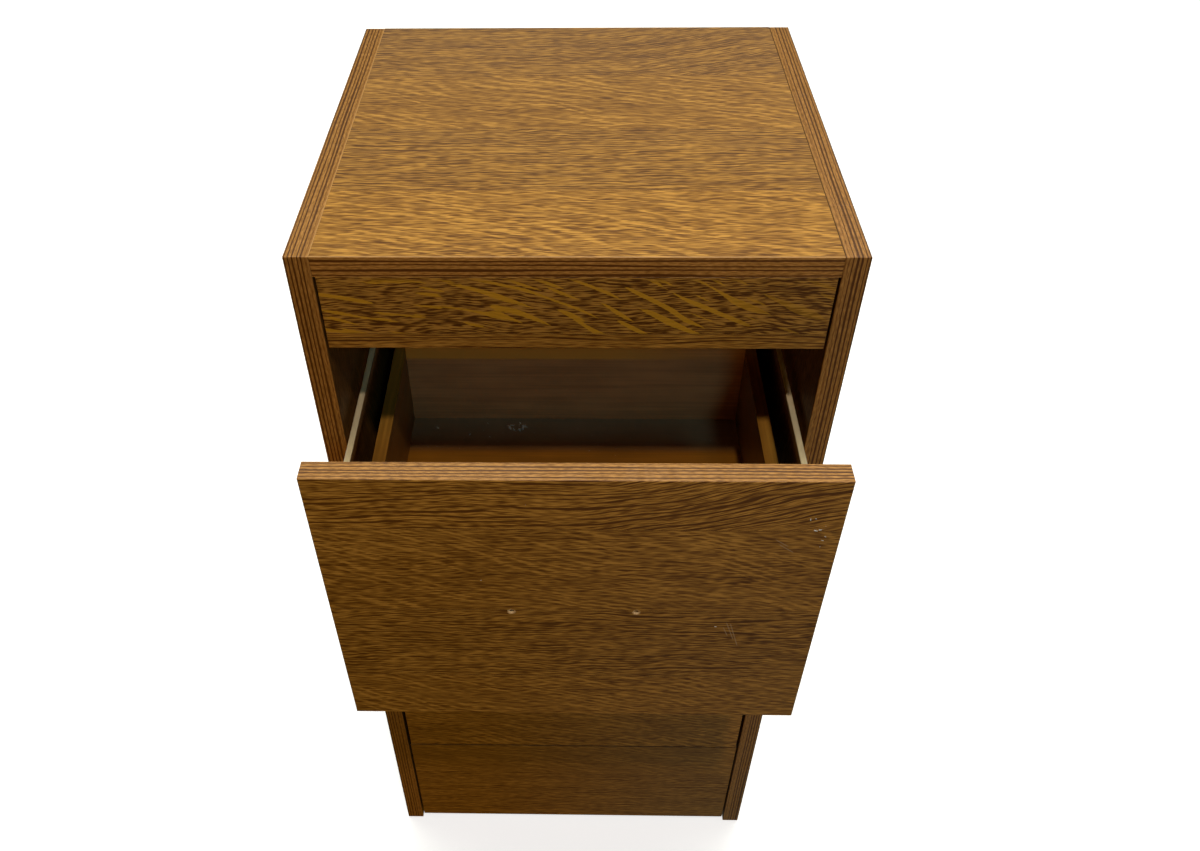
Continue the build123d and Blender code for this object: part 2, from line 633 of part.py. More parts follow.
def make_case():
    """All pieces that stand still, but for the wheels on the channels."""
    left = side_panel()
    keep(left, "side_panel_left")
    keep(mirrored(left), "side_panel_right")
    keep(top_board(), "top_board")
    keep(bottom_board(), "bottom_board")
    keep(back_panel(), "back_panel")
    keep(fixed_front_panel(case_front, FASCIA_T, fascia_bottom, top_under, top_under), "fascia_panel")
    keep(fixed_front_panel(plinth_front, PLINTH_T, PLINTH_LIFT, PLINTH_TOP, base_under), "plinth_panel")

    corners = [(fascia_back, top_under), (plinth_back, base_under)]
    upward = [Plane(origin=(-angle_x, y + ANGLE_SCREW, z - ANGLE_T), z_dir=(0, 0, -1)) for y, z in corners]
    forward = [Plane(origin=(-angle_x, y + ANGLE_T, z - ANGLE_SCREW), z_dir=(0, 1, 0)) for y, z in corners]
    keep(placed(angle_bracket(), [Plane(origin=(-angle_x, y, z)) for y, z in corners]), "corner_brackets")
    keep(placed(pan_screw, upward + forward), "corner_bracket_screws")

    boards = [(top_under, TOP_T), (base_under, BASE_T)]
    with BuildPart() as cams:
        for under, thickness in boards:
            with Locations(*[Plane(origin=(CAM_REACH - half_opening, y, under), x_dir=(-1, 0, 0),
                                   z_dir=(0, 0, -1)) for y in cam_rows]):
                add(cam(CAM_D, thickness - CAM_SKIN, thickness / 2).part)
        mirror(about=Plane.YZ)
    keep(cams, "carcass_cams")
    keep(placed(cam_bolt(CAM_REACH + CAM_HEAD_PAST), [Plane(origin=(-half_opening, y, under + thickness / 2))
                                                      for under, thickness in boards for y in cam_rows]),
         "carcass_cam_bolts")
    keep(placed(dowel(), [Plane(origin=(-half_opening, y, under + thickness / 2))
                          for under, thickness in boards for y in dowel_rows]), "carcass_dowels")

    screw_planes = []
    for name, z_low in (("upper", upper_z), ("lower", lower_z)):
        side_low = z_low + BOX_LIFT
        left_channel = channel(side_low)
        left_wheel = front_wheel(side_low)
        keep(left_channel, f"{name}_runner_channel_left")
        keep(mirrored(left_channel), f"{name}_runner_channel_right")
        keep(left_wheel, f"{name}_front_roller_left")
        keep(mirrored(left_wheel), f"{name}_front_roller_right")
        screw_planes += channel_screw_planes(side_low)
    keep(placed(flat_screw, screw_planes), "runner_channel_screws")


pan_screw = screw(SCREW_D, SCREW_LENGTH, PAN_HEAD_D, PAN_HEAD_T, False)
flat_screw = screw(SCREW_D, SCREW_LENGTH, FLAT_HEAD_D, STEEL_T, True)
long_screw = screw(LONG_SCREW_D, LONG_SCREW_LENGTH, LONG_HEAD_D, LONG_HEAD_T, True)
box_cam = cam(BOX_CAM_D, BOX_SIDE_T - BOX_CAM_SKIN, BOX_SIDE_T / 2)

os.makedirs("parts", exist_ok=True)
make_case()
make_drawer("upper", upper_z, REST_OPEN)
make_drawer("lower", lower_z, 0)
print("front wheel radius", front_wheel_r, "rear wheel radius", rear_wheel_r)
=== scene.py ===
import math
import random

import bmesh
import bpy
from mathutils import Matrix, Vector


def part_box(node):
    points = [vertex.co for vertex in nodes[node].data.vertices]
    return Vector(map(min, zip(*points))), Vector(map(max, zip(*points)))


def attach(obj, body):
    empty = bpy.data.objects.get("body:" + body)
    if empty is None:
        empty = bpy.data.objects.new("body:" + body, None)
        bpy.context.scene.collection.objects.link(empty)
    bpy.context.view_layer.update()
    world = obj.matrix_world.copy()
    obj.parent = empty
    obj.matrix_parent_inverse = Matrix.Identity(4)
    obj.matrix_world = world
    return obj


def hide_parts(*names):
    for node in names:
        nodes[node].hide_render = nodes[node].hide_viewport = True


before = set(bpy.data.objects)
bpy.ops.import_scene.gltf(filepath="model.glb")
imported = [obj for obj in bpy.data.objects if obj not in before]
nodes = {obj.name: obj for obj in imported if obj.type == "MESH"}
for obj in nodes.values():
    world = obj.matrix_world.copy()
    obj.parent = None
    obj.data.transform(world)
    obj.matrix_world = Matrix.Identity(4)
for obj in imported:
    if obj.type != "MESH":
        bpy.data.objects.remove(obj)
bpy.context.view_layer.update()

# The scene is in metres. Places and lengths on the boards are given in millimetres.
MM = 1000.0
LEVELS = ("upper", "lower")
HANDS = ("left", "right")
FULL_TURN = 2.0 * math.pi

# The photograph's frame, and the camera that was fitted to it
PHOTO_WIDTH, PHOTO_HEIGHT = 1200, 851
FOCAL_PIXELS = 1030.8
CENTRE_PIXEL = (552.2, 433.9)
CAMERA_PLACE = Vector((-0.0007, -0.7517, 1.2631))
CAMERA_TURN, CAMERA_DOWN, CAMERA_ROLL = (math.radians(a) for a in (-1.65, 43.49, -0.88))
SENSOR = 36.0

# Oak veneer leaves, one kind in each row. The columns are the grain's tilt at the right end, its
# dark streaks and its fine dashes; light flecks, their slope and their spacing; brightness, slow
# rings, and a shift that gives the kind its own pattern; the gap between streaks, the length that
# one runs, and how far it wanders from 0 to 1.
LEAF_COLUMNS = (("Tilt", "Streaks", "Dashes"), ("Flecks", "Slope", "Spacing"),
                ("Light", "Rings", "Shift"), ("Gap", "Run", "Wander"))
LEAF_KINDS = {
    "streaked": ((0.20, 1.7, 1.0), (0.10, -0.30, 7.0), (0.98, 0.6, 3.0), (3.0, 34.0, 1.0)),
    "combed": ((0.22, 2.7, 1.0), (0.0, -0.30, 7.0), (1.08, 0.5, 3.0), (4.3, 70.0, 0.8)),
    "flamed": ((0.0, 0.45, 0.8), (0.74, -0.33, 8.4), (1.01, 0.4, 11.0), (3.0, 34.0, 1.0)),
    "plain": ((0.0, 1.9, 1.1), (0.0, -0.20, 7.0), (0.95, 0.6, 23.0), (3.0, 34.0, 1.0)),
    "flecked": ((0.0, 0.5, 1.0), (0.82, -0.30, 7.2), (1.06, 0.4, 41.0), (3.0, 34.0, 1.0)),
    "mottled": ((0.0, 1.2, 2.2), (0.1, -0.42, 8.0), (0.84, 0.6, 51.0), (3.0, 34.0, 1.0)),
    "faint": ((0.0, 0.55, 0.85), (0.72, -0.33, 6.5), (1.0, 0.4, 71.0), (3.0, 34.0, 1.0)),
    "ruled": ((0.0, 2.6, 0.6), (0.0, -0.20, 7.0), (0.96, 0.3, 61.0), (2.9, 150.0, 0.1)),
}
# Half the width over which one leaf turns into the next, and how far from the seam its dark line
# shows in full and has faded
LEAF_JOIN, SEAM_FULL, SEAM_GONE = 0.4, 0.3, 1.1
# How far the middle of a board's striped edge lies behind its face
BAND_MIDDLE = 8.0

# Colours, as linear red, green and blue
OAK = (0.345, 0.152, 0.021)
EDGE_OAK = (0.309, 0.130, 0.024)
OAK_GOLD = (0.68, 0.34, 0.020)
# Painted light: the golden colour of a band of light on the drawer backs' upper part
PAINTED_LIGHT_GOLD = (0.74, 0.37, 0.055)
# Dust with a painted shade tint: the greyer, cooler colour of the shaded rear of a drawer bottom
DUST_AND_SHADE_TINT = (0.42, 0.36, 0.25)
CHIPBOARD = (0.72, 0.45, 0.20)
# Painted shade and painted highlight: thin lines on arrises and seams
PAINTED_SHADE_LINE = (0.035, 0.012, 0.004)
PAINTED_HIGHLIGHT_LINE = (0.62, 0.33, 0.11)
SCRATCHED = (0.58, 0.40, 0.24)
# Painted sheen: the grey-blue colour that stands for a reflection on the rear of the top
PAINTED_SHEEN_TINT = (0.34, 0.34, 0.37)
# How much of its colour a painted highlight or shade line, a scratch and the painted sheen show at the most
PAINTED_LINE_SHARE, SCRATCH_SHARE, PAINTED_SHEEN_SHARE = 0.75, 0.55, 0.075
# Depth of the relief in each surface, in metres
PORE_DEPTH, LAMINATE_DEPTH, PAINT_DEPTH, PLASTIC_DEPTH, CRUMBLE_DEPTH = 5e-5, 3e-5, 2e-5, 2e-5, 2e-4
# A tone from 0 to 1, and what it makes of a board's mean colour
TONES = ((0.0, (0.36, 0.27, 0.14)), (0.25, (0.66, 0.59, 0.46)), (0.5, (1.0, 1.0, 1.0)),
         (0.75, (1.38, 1.46, 1.62)), (1.0, (1.85, 2.05, 2.6)))

# The handle holes' pitch, and how far the laminate is broken away round them
HOLE_PITCH, HOLE_CHIP = 96.0, 2.9
# Where chance starts for each group of small pieces
SCREW_SEED, RIM_SEED, HEAP_SEED, CRUMB_SEED, FLECK_SEED = 5, 30, 12, 3, 8

# The floor's half width in metres, its glow where it is seen, what it throws back on the part from
# the left and from the right, and what the surroundings throw
FLOOR_HALF, FLOOR_GLOW = 12.0, 0.68
FLOOR_LEFT, FLOOR_RIGHT = (0.200, 0.088, 0.0), (0.178, 0.179, 0.133)
SURROUNDINGS = 0.0


def span(name, axis):
    """Lowest and highest place of a CAD node along an axis, in millimetres."""
    low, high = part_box(name)
    return low[axis] * MM, high[axis] * MM


def scaled(colour, factor):
    """A plain colour, made darker or lighter."""
    return tuple(factor * part for part in colour)


def linked(name, data):
    """An object for a mesh, a camera or a light, put in the scene."""
    made = bpy.data.objects.new(name, data)
    bpy.context.collection.objects.link(made)
    return made


# Short calls for building shader and geometry trees

class Value:
    """What a socket gives, to be reckoned with like a plain number."""

    def __init__(self, tree, socket):
        self.tree, self.socket = tree, socket

    def calc(self, operation, *values):
        made = node(self.tree, "ShaderNodeMath", dict(enumerate(values)), operation=operation)
        return Value(self.tree, made.outputs[0])

    def __add__(self, other):
        return self.calc("ADD", self, other)

    def __sub__(self, other):
        return self.calc("SUBTRACT", self, other)

    def __rsub__(self, other):
        return self.calc("SUBTRACT", other, self)

    def __mul__(self, other):
        return self.calc("MULTIPLY", self, other)

    def __truediv__(self, other):
        return self.calc("DIVIDE", self, other)

    def __abs__(self):
        return self.calc("ABSOLUTE", self)

    __radd__, __rmul__ = __add__, __mul__

    def larger(self, other):
        return self.calc("MAXIMUM", self, other)

    def clamped(self):
        """The value held between 0 and 1."""
        return self.calc("MINIMUM", self, 1.0).larger(0.0)

    def wave(self):
        """A sine that swings once for each whole number."""
        return self.calc("SINE", self * FULL_TURN)

    def ramp(self, low, high, first=0.0, last=1.0, kind="SMOOTHSTEP"):
        """The value's way from low to high as first to last, held at both ends."""
        made = node(self.tree, "ShaderNodeMapRange", {"Value": self, "From Min": low, "From Max": high,
                                                      "To Min": first, "To Max": last},
                    interpolation_type=kind, clamp=True)
        return Value(self.tree, made.outputs[0])

    def within(self, low, high, fade):
        """1 between low and high, fading to 0 over a length about each."""
        return self.ramp(low - fade, low + fade) * self.ramp(high - fade, high + fade, 1.0, 0.0)


def feed(tree, socket, value):
    """Links a value or a socket to an input, or sets the input to a constant."""
    source = getattr(value, "socket", value)
    if isinstance(source, bpy.types.NodeSocket):
        tree.links.new(source, socket)
    else:
        socket.default_value = source


def node(tree, kind, values=None, **settings):
    """A node with its settings and with what feeds its inputs."""
    made = tree.nodes.new(kind)
    for name, value in settings.items():
        setattr(made, name, value)
    for key, value in (values or {}).items():
        feed(tree, made.inputs[key], value)
    return made


def parts_of(tree, source):
    """The three numbers of a vector."""
    return [Value(tree, part) for part in node(tree, "ShaderNodeSeparateXYZ", {0: source}).outputs]


def vector(tree, x, y, z):
    """Three numbers as one vector."""
    return node(tree, "ShaderNodeCombineXYZ", {0: x, 1: y, 2: z}).outputs[0]


def noise(tree, x, y, z, detail=2.0):
    """Soft noise, mostly between 0.3 and 0.7, in lumps one unit long."""
    made = node(tree, "ShaderNodeTexNoise", {"Vector": vector(tree, x, y, z), "Scale": 1.0, "Detail": detail})
    return Value(tree, made.outputs[0])


def times(tree, source, factor):
    """A vector or a colour, times a number."""
    return node(tree, "ShaderNodeVectorMath", {0: source, "Scale": factor}, operation="SCALE").outputs[0]


def mix_colour(tree, share, first, second):
    """The first colour with a share of the second."""
    first, second = ((*colour, 1.0) if isinstance(colour, tuple) else colour for colour in (first, second))
    return node(tree, "ShaderNodeMix", {0: share, 6: first, 7: second}, data_type="RGBA").outputs[2]


def mix_vector(tree, share, first, second):
    """The first vector with a share of the second."""
    return node(tree, "ShaderNodeMix", {0: share, 4: first, 5: second}, data_type="VECTOR").outputs[1]


def tinted(tree, tone, colour):
    """A board's mean colour, made darker or lighter by a tone from 0 to 1."""
    made = node(tree, "ShaderNodeValToRGB", {0: tone})
    stops = made.color_ramp.elements
    for place, _ in TONES[1:-1]:
        stops.new(place)
    for stop, (_, factors) in zip(stops, TONES):
        stop.color = (*(c * factor for c, factor in zip(colour, factors)), 1.0)
    return made.outputs[0]


def new_material(name):
    """A material with one Principled shader; returns it with its tree and its shader."""
    material = bpy.data.materials.new(name)
    material.use_nodes = True
    tree = material.node_tree
    return material, tree, tree.nodes["Principled BSDF"]


def place_mm(tree):
    """The point on the piece in millimetres, as three numbers."""
    return parts_of(tree, times(tree, node(tree, "ShaderNodeTexCoord").outputs["Object"], MM))


def facing_axes(tree):
    """How far the surface faces each axis, from 0 to 1."""
    normal = node(tree, "ShaderNodeNewGeometry").outputs["Normal"]
    return parts_of(tree, node(tree, "ShaderNodeVectorMath", {0: normal}, operation="ABSOLUTE").outputs[0])


def dress(tree, shader, colour, roughness, height=None, depth=0.0):
    """Gives a shader its colour and roughness, and a bump as deep as depth in metres."""
    feed(tree, shader.inputs["Base Color"], colour)
    feed(tree, shader.inputs["Roughness"], roughness)
    if height is not None:
        bump = node(tree, "ShaderNodeBump", {"Height": height, "Distance": depth, "Strength": 1.0})
        feed(tree, shader.inputs["Normal"], bump.outputs[0])


# Oak veneer

def oak_grain_group():
    """Oak veneer as numbers: a tone from dark to light, and the relief of its pores."""
    tree = bpy.data.node_groups.new("oak_grain", "ShaderNodeTree")
    names = ["Along", "Across", "Depth"] + [name for row in LEAF_COLUMNS for name in row if name != "Light"]
    for name in names:
        tree.interface.new_socket(name=name, in_out="INPUT", socket_type="NodeSocketFloat")
    for name in ("Tone", "Relief"):
        tree.interface.new_socket(name=name, in_out="OUTPUT", socket_type="NodeSocketFloat")
    inputs = node(tree, "NodeGroupInput").outputs
    given = {name: Value(tree, inputs[name]) for name in names}
    along, across = given["Along"], given["Across"]
    layer = given["Depth"] * 0.01 + given["Shift"]

    def stretched(length, width, over, seed, detail=1.0):
        """Noise in lumps of this length along the grain and this width across it."""
        return noise(tree, along / length, over / width, layer + seed, detail)

    # The place across, bent as the grain is
    wander = stretched(120.0, 38.0, across, 0.0, detail=2.0) - 0.5
    ripple = stretched(60.0, 12.0, across, 3.0) - 0.5
    rise = along.ramp(-60.0, 170.0) * (along + 20.0)
    bent = across - given["Tilt"] * rise + wander * (given["Wander"] * 18.0) + ripple * 3.0

    # Dark streaks, broken into lengths
    streak_phase = stretched(110.0, 13.0, bent, 1.0) * 3.2 + bent / given["Gap"]
    unbroken = stretched(given["Run"], 2.2, bent, 25.0).ramp(0.42, 0.58)
    streaks = streak_phase.wave().ramp(0.1, 0.9) * unbroken * given["Streaks"]

    broad = stretched(110.0, 3.2, bent, 5.0) - 0.5
    dashes = (stretched(9.0, 0.7, bent, 9.0, detail=0.0) - 0.5) * given["Dashes"]
    rings = stretched(260.0, 14.0, bent, 13.0) - 0.5

    # Light flecks that slope across the grain
    sweep = stretched(150.0, 95.0, across, 17.0, detail=0.0) - 0.5
    across_fleck = across - given["Slope"] * along + (sweep * 45.0 + ripple * 3.0)
    along_fleck = given["Slope"] * across + along
    drift = noise(tree, along_fleck / 75.0, across_fleck / 24.0, layer + 7.0, detail=1.0)
    ragged = stretched(7.0, 1.4, across, 29.0, detail=0.0)
    fleck_phase = drift * 2.4 + ragged * 0.45 + across_fleck / given["Spacing"]
    patches = noise(tree, along_fleck / 60.0, across_fleck / 11.0, layer + 19.0, detail=1.0)
    flecks = (fleck_phase.wave().ramp(-0.2, 1.0) * patches.ramp(0.34, 0.62) - 0.25) * given["Flecks"]

    tone = rings * (given["Rings"] * 0.55) + 0.5 + flecks * 0.46
    tone = tone + (streaks - 0.18) * -0.46 + broad * 0.35 + dashes * -1.5
    relief = streaks * -0.5 + dashes * -2.0
    node(tree, "NodeGroupOutput", {"Tone": tone, "Relief": relief})
    return tree


oak_grain = oak_grain_group()


def edge_band(tree, lengthwise, band, middle, shift, gap):
    """Tone of striped edge banding: dark lines along it, a mottled ground, and fine fibres."""
    sway = noise(tree, lengthwise / 160.0, shift, 0.0, detail=1.0) - 0.5
    band = sway * 2.0 + band
    spread = noise(tree, lengthwise / 300.0, band / 4.0, shift + 2.0, detail=1.0)
    lines = (spread * 1.2 + band / gap).wave().ramp(0.2, 0.8)
    stripes = lines * abs(band - middle).ramp(5.5, 8.5, 1.0, 0.25)
    mottle = noise(tree, lengthwise / 6.0, band / 0.9, shift, detail=1.0) - 0.5
    clouds = noise(tree, lengthwise / 45.0, band / 6.0, shift + 9.0) - 0.5
    return stripes * -1.05 + 0.72 + mottle * 1.3 + clouds * 0.25


def gold_flecks(tree, along, across, low, high):
    """Long isolated flecks that run down to the right, on the part of a board between low and high."""
    bend = noise(tree, along / 110.0, across / 60.0, 4.0, detail=0.0) - 0.5
    fall = along.ramp(-180.0, 20.0, 0.30, 0.52)
    across_fleck = fall * along + across + bend * 14.0
    along_fleck = along - across * 0.45
    ragged = noise(tree, along / 5.0, across, 3.0, detail=1.0) - 0.5
    lumps = noise(tree, along_fleck / 44.0, across_fleck / 5.0, 21.7, detail=0.0) + ragged * 0.10
    mask = lumps.ramp(0.59, 0.63) * across.ramp(low, low + 3.0) * across.ramp(high - 6.0, high, 1.0, 0.0)
    return mask * along.ramp(90.0, 170.0, 0.85, 0.35)


def leaf_values(tree, leaves, where):
    """What LEAF_COLUMNS names, at the leaf where the point lies, and how near the point is to a seam."""
    rows = LEAF_KINDS[leaves[0][0]]
    if len(leaves) == 1:
        rows = [vector(tree, *row) for row in rows]
    seams = None
    for (_, border), (kind, _) in zip(leaves, leaves[1:]):
        step = where.ramp(border - LEAF_JOIN, border + LEAF_JOIN, kind="LINEAR")
        rows = [mix_vector(tree, step, row, new) for row, new in zip(rows, LEAF_KINDS[kind])]
        seam = abs(where - border).ramp(SEAM_FULL, SEAM_GONE, 1.0, 0.0)
        seams = seam if seams is None else seams.larger(seam)
    values = {}
    for names, row in zip(LEAF_COLUMNS, rows):
        values.update(zip(names, parts_of(tree, row)))
    return values, seams


def with_lines(tree, colour, place, facing, lines):
    """A colour with thin painted highlight and painted shade lines on an arris or a seam."""
    for faces, axis, low, high, tint in lines:
        inside = place[axis].within(low, high, 0.15) * facing[faces].ramp(0.55, 0.65)
        colour = mix_colour(tree, inside * PAINTED_LINE_SHARE, colour, tint)
    return colour


def with_chips(tree, colour, place, chips):
    """A front's colour with pale broken spots."""
    for x, z, radius in chips:
        ragged = noise(tree, place[0] / 1.3, place[2], x) - 0.5
        offset = vector(tree, place[0] - x, place[2] - z, 0.0)
        away = Value(tree, node(tree, "ShaderNodeVectorMath", {0: offset}, operation="LENGTH").outputs["Value"])
        spot = (ragged * -2.2 + away).ramp(radius, radius + 0.4, 1.0, 0.0)
        colour = mix_colour(tree, spot, colour, CHIPBOARD)
    return colour


def with_scratches(tree, colour, place, scratches):
    """A front's colour with fine pale scratches."""
    for (start_x, start_z), (end_x, end_z) in scratches:
        length = math.hypot(end_x - start_x, end_z - start_z)
        run, rise = (end_x - start_x) / length, (end_z - start_z) / length
        from_x, from_z = place[0] - start_x, place[2] - start_z
        along = from_x * run + from_z * rise
        aside = from_x * rise - from_z * run
        ends = along.ramp(0.0, 3.0) * along.ramp(length - 3.0, length, 1.0, 0.0)
        line = abs(aside).ramp(0.15, 0.6, 1.0, 0.0) * ends
        colour = mix_colour(tree, line * SCRATCH_SHARE, colour, SCRATCHED)
    return colour


def oak_board(name, along, across, leaves, brightness=1.0, contrast=1.0, edge_light=1.0, stripe_shift=0.0,
              stripe_middle=0.0, stripe_gap=3.1, lines=(), flecks_between=None, shaded_inner_face=None, painted_sheen=None,
              chips=(), scratches=()):
    """Oak-faced board: veneer leaves on the broad faces, striped edge band on the narrow ones.

    along and across are axes 0 to 2 on the broad face. leaves lists, from low to high, each leaf's
    kind and the place across where it ends. stripe_middle is the place of the band's middle through
    the board, stripe_gap the distance between its lines, and stripe_shift gives the board a pattern
    of its own. lines lists thin painted highlight and painted shade lines on an arris or a seam: the
    axis that the face looks along, the axis across the line, from, to, and the colour. flecks_between
    is the stretch across that has gold flecks. shaded_inner_face is the distance from the middle at
    which a side's inner face lies; that face is darkened with painted shade. painted_sheen is the
    stretch across, from none to strongest, over which a painted grey-blue sheen stands for a
    reflection. chips lists broken spots on a front as x, z and radius, and scratches lists their
    ends as x and z. All lengths are in millimetres.
    """
    material, tree, shader = new_material(name)
    place, facing = place_mm(tree), facing_axes(tree)
    depth = 3 - along - across
    where = place[across]
    values, seams = leaf_values(tree, leaves, where)
    light = values.pop("Light") * brightness
    values.update({"Along": place[along], "Across": where, "Depth": place[depth]})
    grain = node(tree, "ShaderNodeGroup", values, node_tree=oak_grain)
    relief = Value(tree, grain.outputs["Relief"])

    tone = (Value(tree, grain.outputs["Tone"]) - 0.5) * contrast + 0.5
    if seams is not None:
        broken = noise(tree, place[along] / 30.0, where / 3.0, stripe_shift, detail=1.0).ramp(0.4, 0.6)
        tone = seams * broken * -0.2 + tone
    # Painted shade: a case side's inner face, inside the case, is darkened to 0.45 of its brightness
    if shaded_inner_face:
        light = light * abs(place[0]).ramp(shaded_inner_face + 0.1, shaded_inner_face + 0.5, 0.45, 1.0)
    veneer = times(tree, tinted(tree, tone.clamped(), OAK), light)
    # Painted sheen: a grey-blue reflection mixed into the face, growing towards the back
    if painted_sheen:
        veneer = mix_colour(tree, where.ramp(*painted_sheen, 0.0, PAINTED_SHEEN_SHARE, kind="LINEAR"), veneer, PAINTED_SHEEN_TINT)
    if flecks_between:
        veneer = mix_colour(tree, gold_flecks(tree, place[along], where, *flecks_between), veneer, OAK_GOLD)

    edge_tone = edge_band(tree, place[along] + where, place[depth], stripe_middle, stripe_shift, stripe_gap)
    edge_tone = ((edge_tone - 0.5) * contrast + 0.5).clamped()
    edge = tinted(tree, edge_tone, scaled(EDGE_OAK, edge_light))

    colour = mix_colour(tree, facing[depth].ramp(0.7, 0.72), edge, veneer)
    # Painted highlight and painted shade lines on arrises and seams
    colour = with_lines(tree, colour, place, facing, lines)
    colour = with_chips(tree, colour, place, chips)
    colour = with_scratches(tree, colour, place, scratches)
    dress(tree, shader, colour, relief.ramp(-1.2, 0.0, 0.54, 0.42, kind="LINEAR"), relief, PORE_DEPTH)
    shader.inputs["Specular IOR Level"].default_value = 0.35
    return material


# The other finishes

def plain_board(name, along, dark, light, seed, dust_and_shade_from=None, painted_light_above=None, shaded_inner_face=None):
    """Plain brown laminate of the drawer boxes, with a faint lengthwise grain.

    dust_and_shade_from is the place along Y behind which dust with a painted shade tint lies, and
    painted_light_above the height above which a painted band of golden light lies, strongest towards
    the left. shaded_inner_face is the distance from the middle at which the inner face of a drawer's
    side lies; that face is darkened to half with painted shade. All lengths are in millimetres.
    """
    material, tree, shader = new_material(name)
    place = place_mm(tree)
    x, y, z = (place[axis] / (120.0 if axis == along else 2.2) for axis in range(3))
    grain = noise(tree, x, y, z + seed, detail=3.0)
    clouds = noise(tree, place[0] / 70.0, place[1] / 70.0, place[2] / 40.0)
    colour = mix_colour(tree, (clouds * 0.5 + grain * 0.5).ramp(0.35, 0.65), dark, light)
    # Dust with painted shade: behind this place the bottom turns greyer and cooler, for dust and for the shade
    # there
    if dust_and_shade_from is not None:
        dust = place[1].ramp(dust_and_shade_from - 6.0, dust_and_shade_from + 18.0) * clouds.ramp(0.2, 0.7, 0.40, 0.60)
        colour = mix_colour(tree, dust, colour, DUST_AND_SHADE_TINT)
    # Painted light: a band of golden light across the upper part of the drawer back, strongest towards the left
    if painted_light_above is not None:
        painted_light_band = place[2].ramp(painted_light_above - 1.5, painted_light_above + 1.5) * place[0].ramp(20.0, 150.0, 0.8, 0.1)
        colour = mix_colour(tree, painted_light_band, colour, PAINTED_LIGHT_GOLD)
    # Painted shade: the inner face of a drawer's side is darkened to half
    if shaded_inner_face is not None:
        colour = times(tree, colour, abs(place[0]).ramp(shaded_inner_face + 0.1, shaded_inner_face + 0.5, 0.5, 1.0))
    dress(tree, shader, colour, grain.ramp(0.3, 0.7, 0.36, 0.48), grain, LAMINATE_DEPTH)
    return material


def painted_steel(name, colour, worn, roughness, shaded_flank=None):
    """Stoved paint with fine orange peel and duller rubbed patches; shaded_flank is a painted shade colour for
    faces that look along X.
    """
    material, tree, shader = new_material(name)
    x, y, z = place_mm(tree)
    peel = noise(tree, x, y, z, detail=1.0)
    rub = noise(tree, x / 12.0, y / 40.0, z / 12.0, detail=3.0)
    paint = mix_colour(tree, rub.ramp(0.5, 0.75), colour, worn)
    # Painted shade on the faces that look along X
    if shaded_flank:
        paint = mix_colour(tree, facing_axes(tree)[0].ramp(0.5, 0.8), paint, shaded_flank)
    dress(tree, shader, paint, rub.ramp(0.3, 0.7, roughness - 0.06, roughness + 0.08), peel, PAINT_DEPTH)
    return material


def bare_metal(name, colour, roughness):
    """Plated or cast metal with fine brushing and a little tarnish."""
    material, tree, shader = new_material(name)
    x, y, z = place_mm(tree)
    brush = noise(tree, x / 0.4, y / 0.4, z / 3.0)
    dress(tree, shader, mix_colour(tree, brush.ramp(0.35, 0.75), colour, scaled(colour, 0.7)),
          brush.ramp(0.3, 0.7, roughness - 0.05, roughness + 0.1))
    shader.inputs["Metallic"].default_value = 1.0
    return material


def moulded_plastic(name, colour, roughness):
    """Moulded plastic with a fine spark-eroded surface."""
    material, tree, shader = new_material(name)
    x, y, z = place_mm(tree)
    grit = noise(tree, x * 2.0, y * 2.0, z * 2.0)
    dress(tree, shader, mix_colour(tree, grit.ramp(0.3, 0.7), colour, scaled(colour, 0.86)),
          grit.ramp(0.3, 0.7, roughness - 0.05, roughness + 0.05), grit, PLASTIC_DEPTH)
    return material


def crumbly(name, colour, dim):
    """Broken chipboard and dust: matt, with a mottle as fine as its chips."""
    material, tree, shader = new_material(name)
    x, y, z = place_mm(tree)
    chips = noise(tree, x / 0.8, y / 0.8, z / 0.6)
    dress(tree, shader, mix_colour(tree, chips.ramp(0.35, 0.65), dim, colour), chips.ramp(0.3, 0.7, 0.75, 0.9),
          chips, CRUMBLE_DEPTH)
    return material


def put_on(material, *names):
    """Gives CAD nodes their finish."""
    for name in names:
        for held in nodes[name].material_slots:
            held.material = material


def handle_holes(level):
    """Middles of a front's two handle holes, as x and z."""
    low, high = span(f"{level}_front", 2)
    return [(side * HOLE_PITCH / 2, (low + high) / 2) for side in (-1, 1)]


def handle_chips(level):
    """The two handle holes of a front, with the laminate broken away round them."""
    return [(x, z, HOLE_CHIP) for x, z in handle_holes(level)]


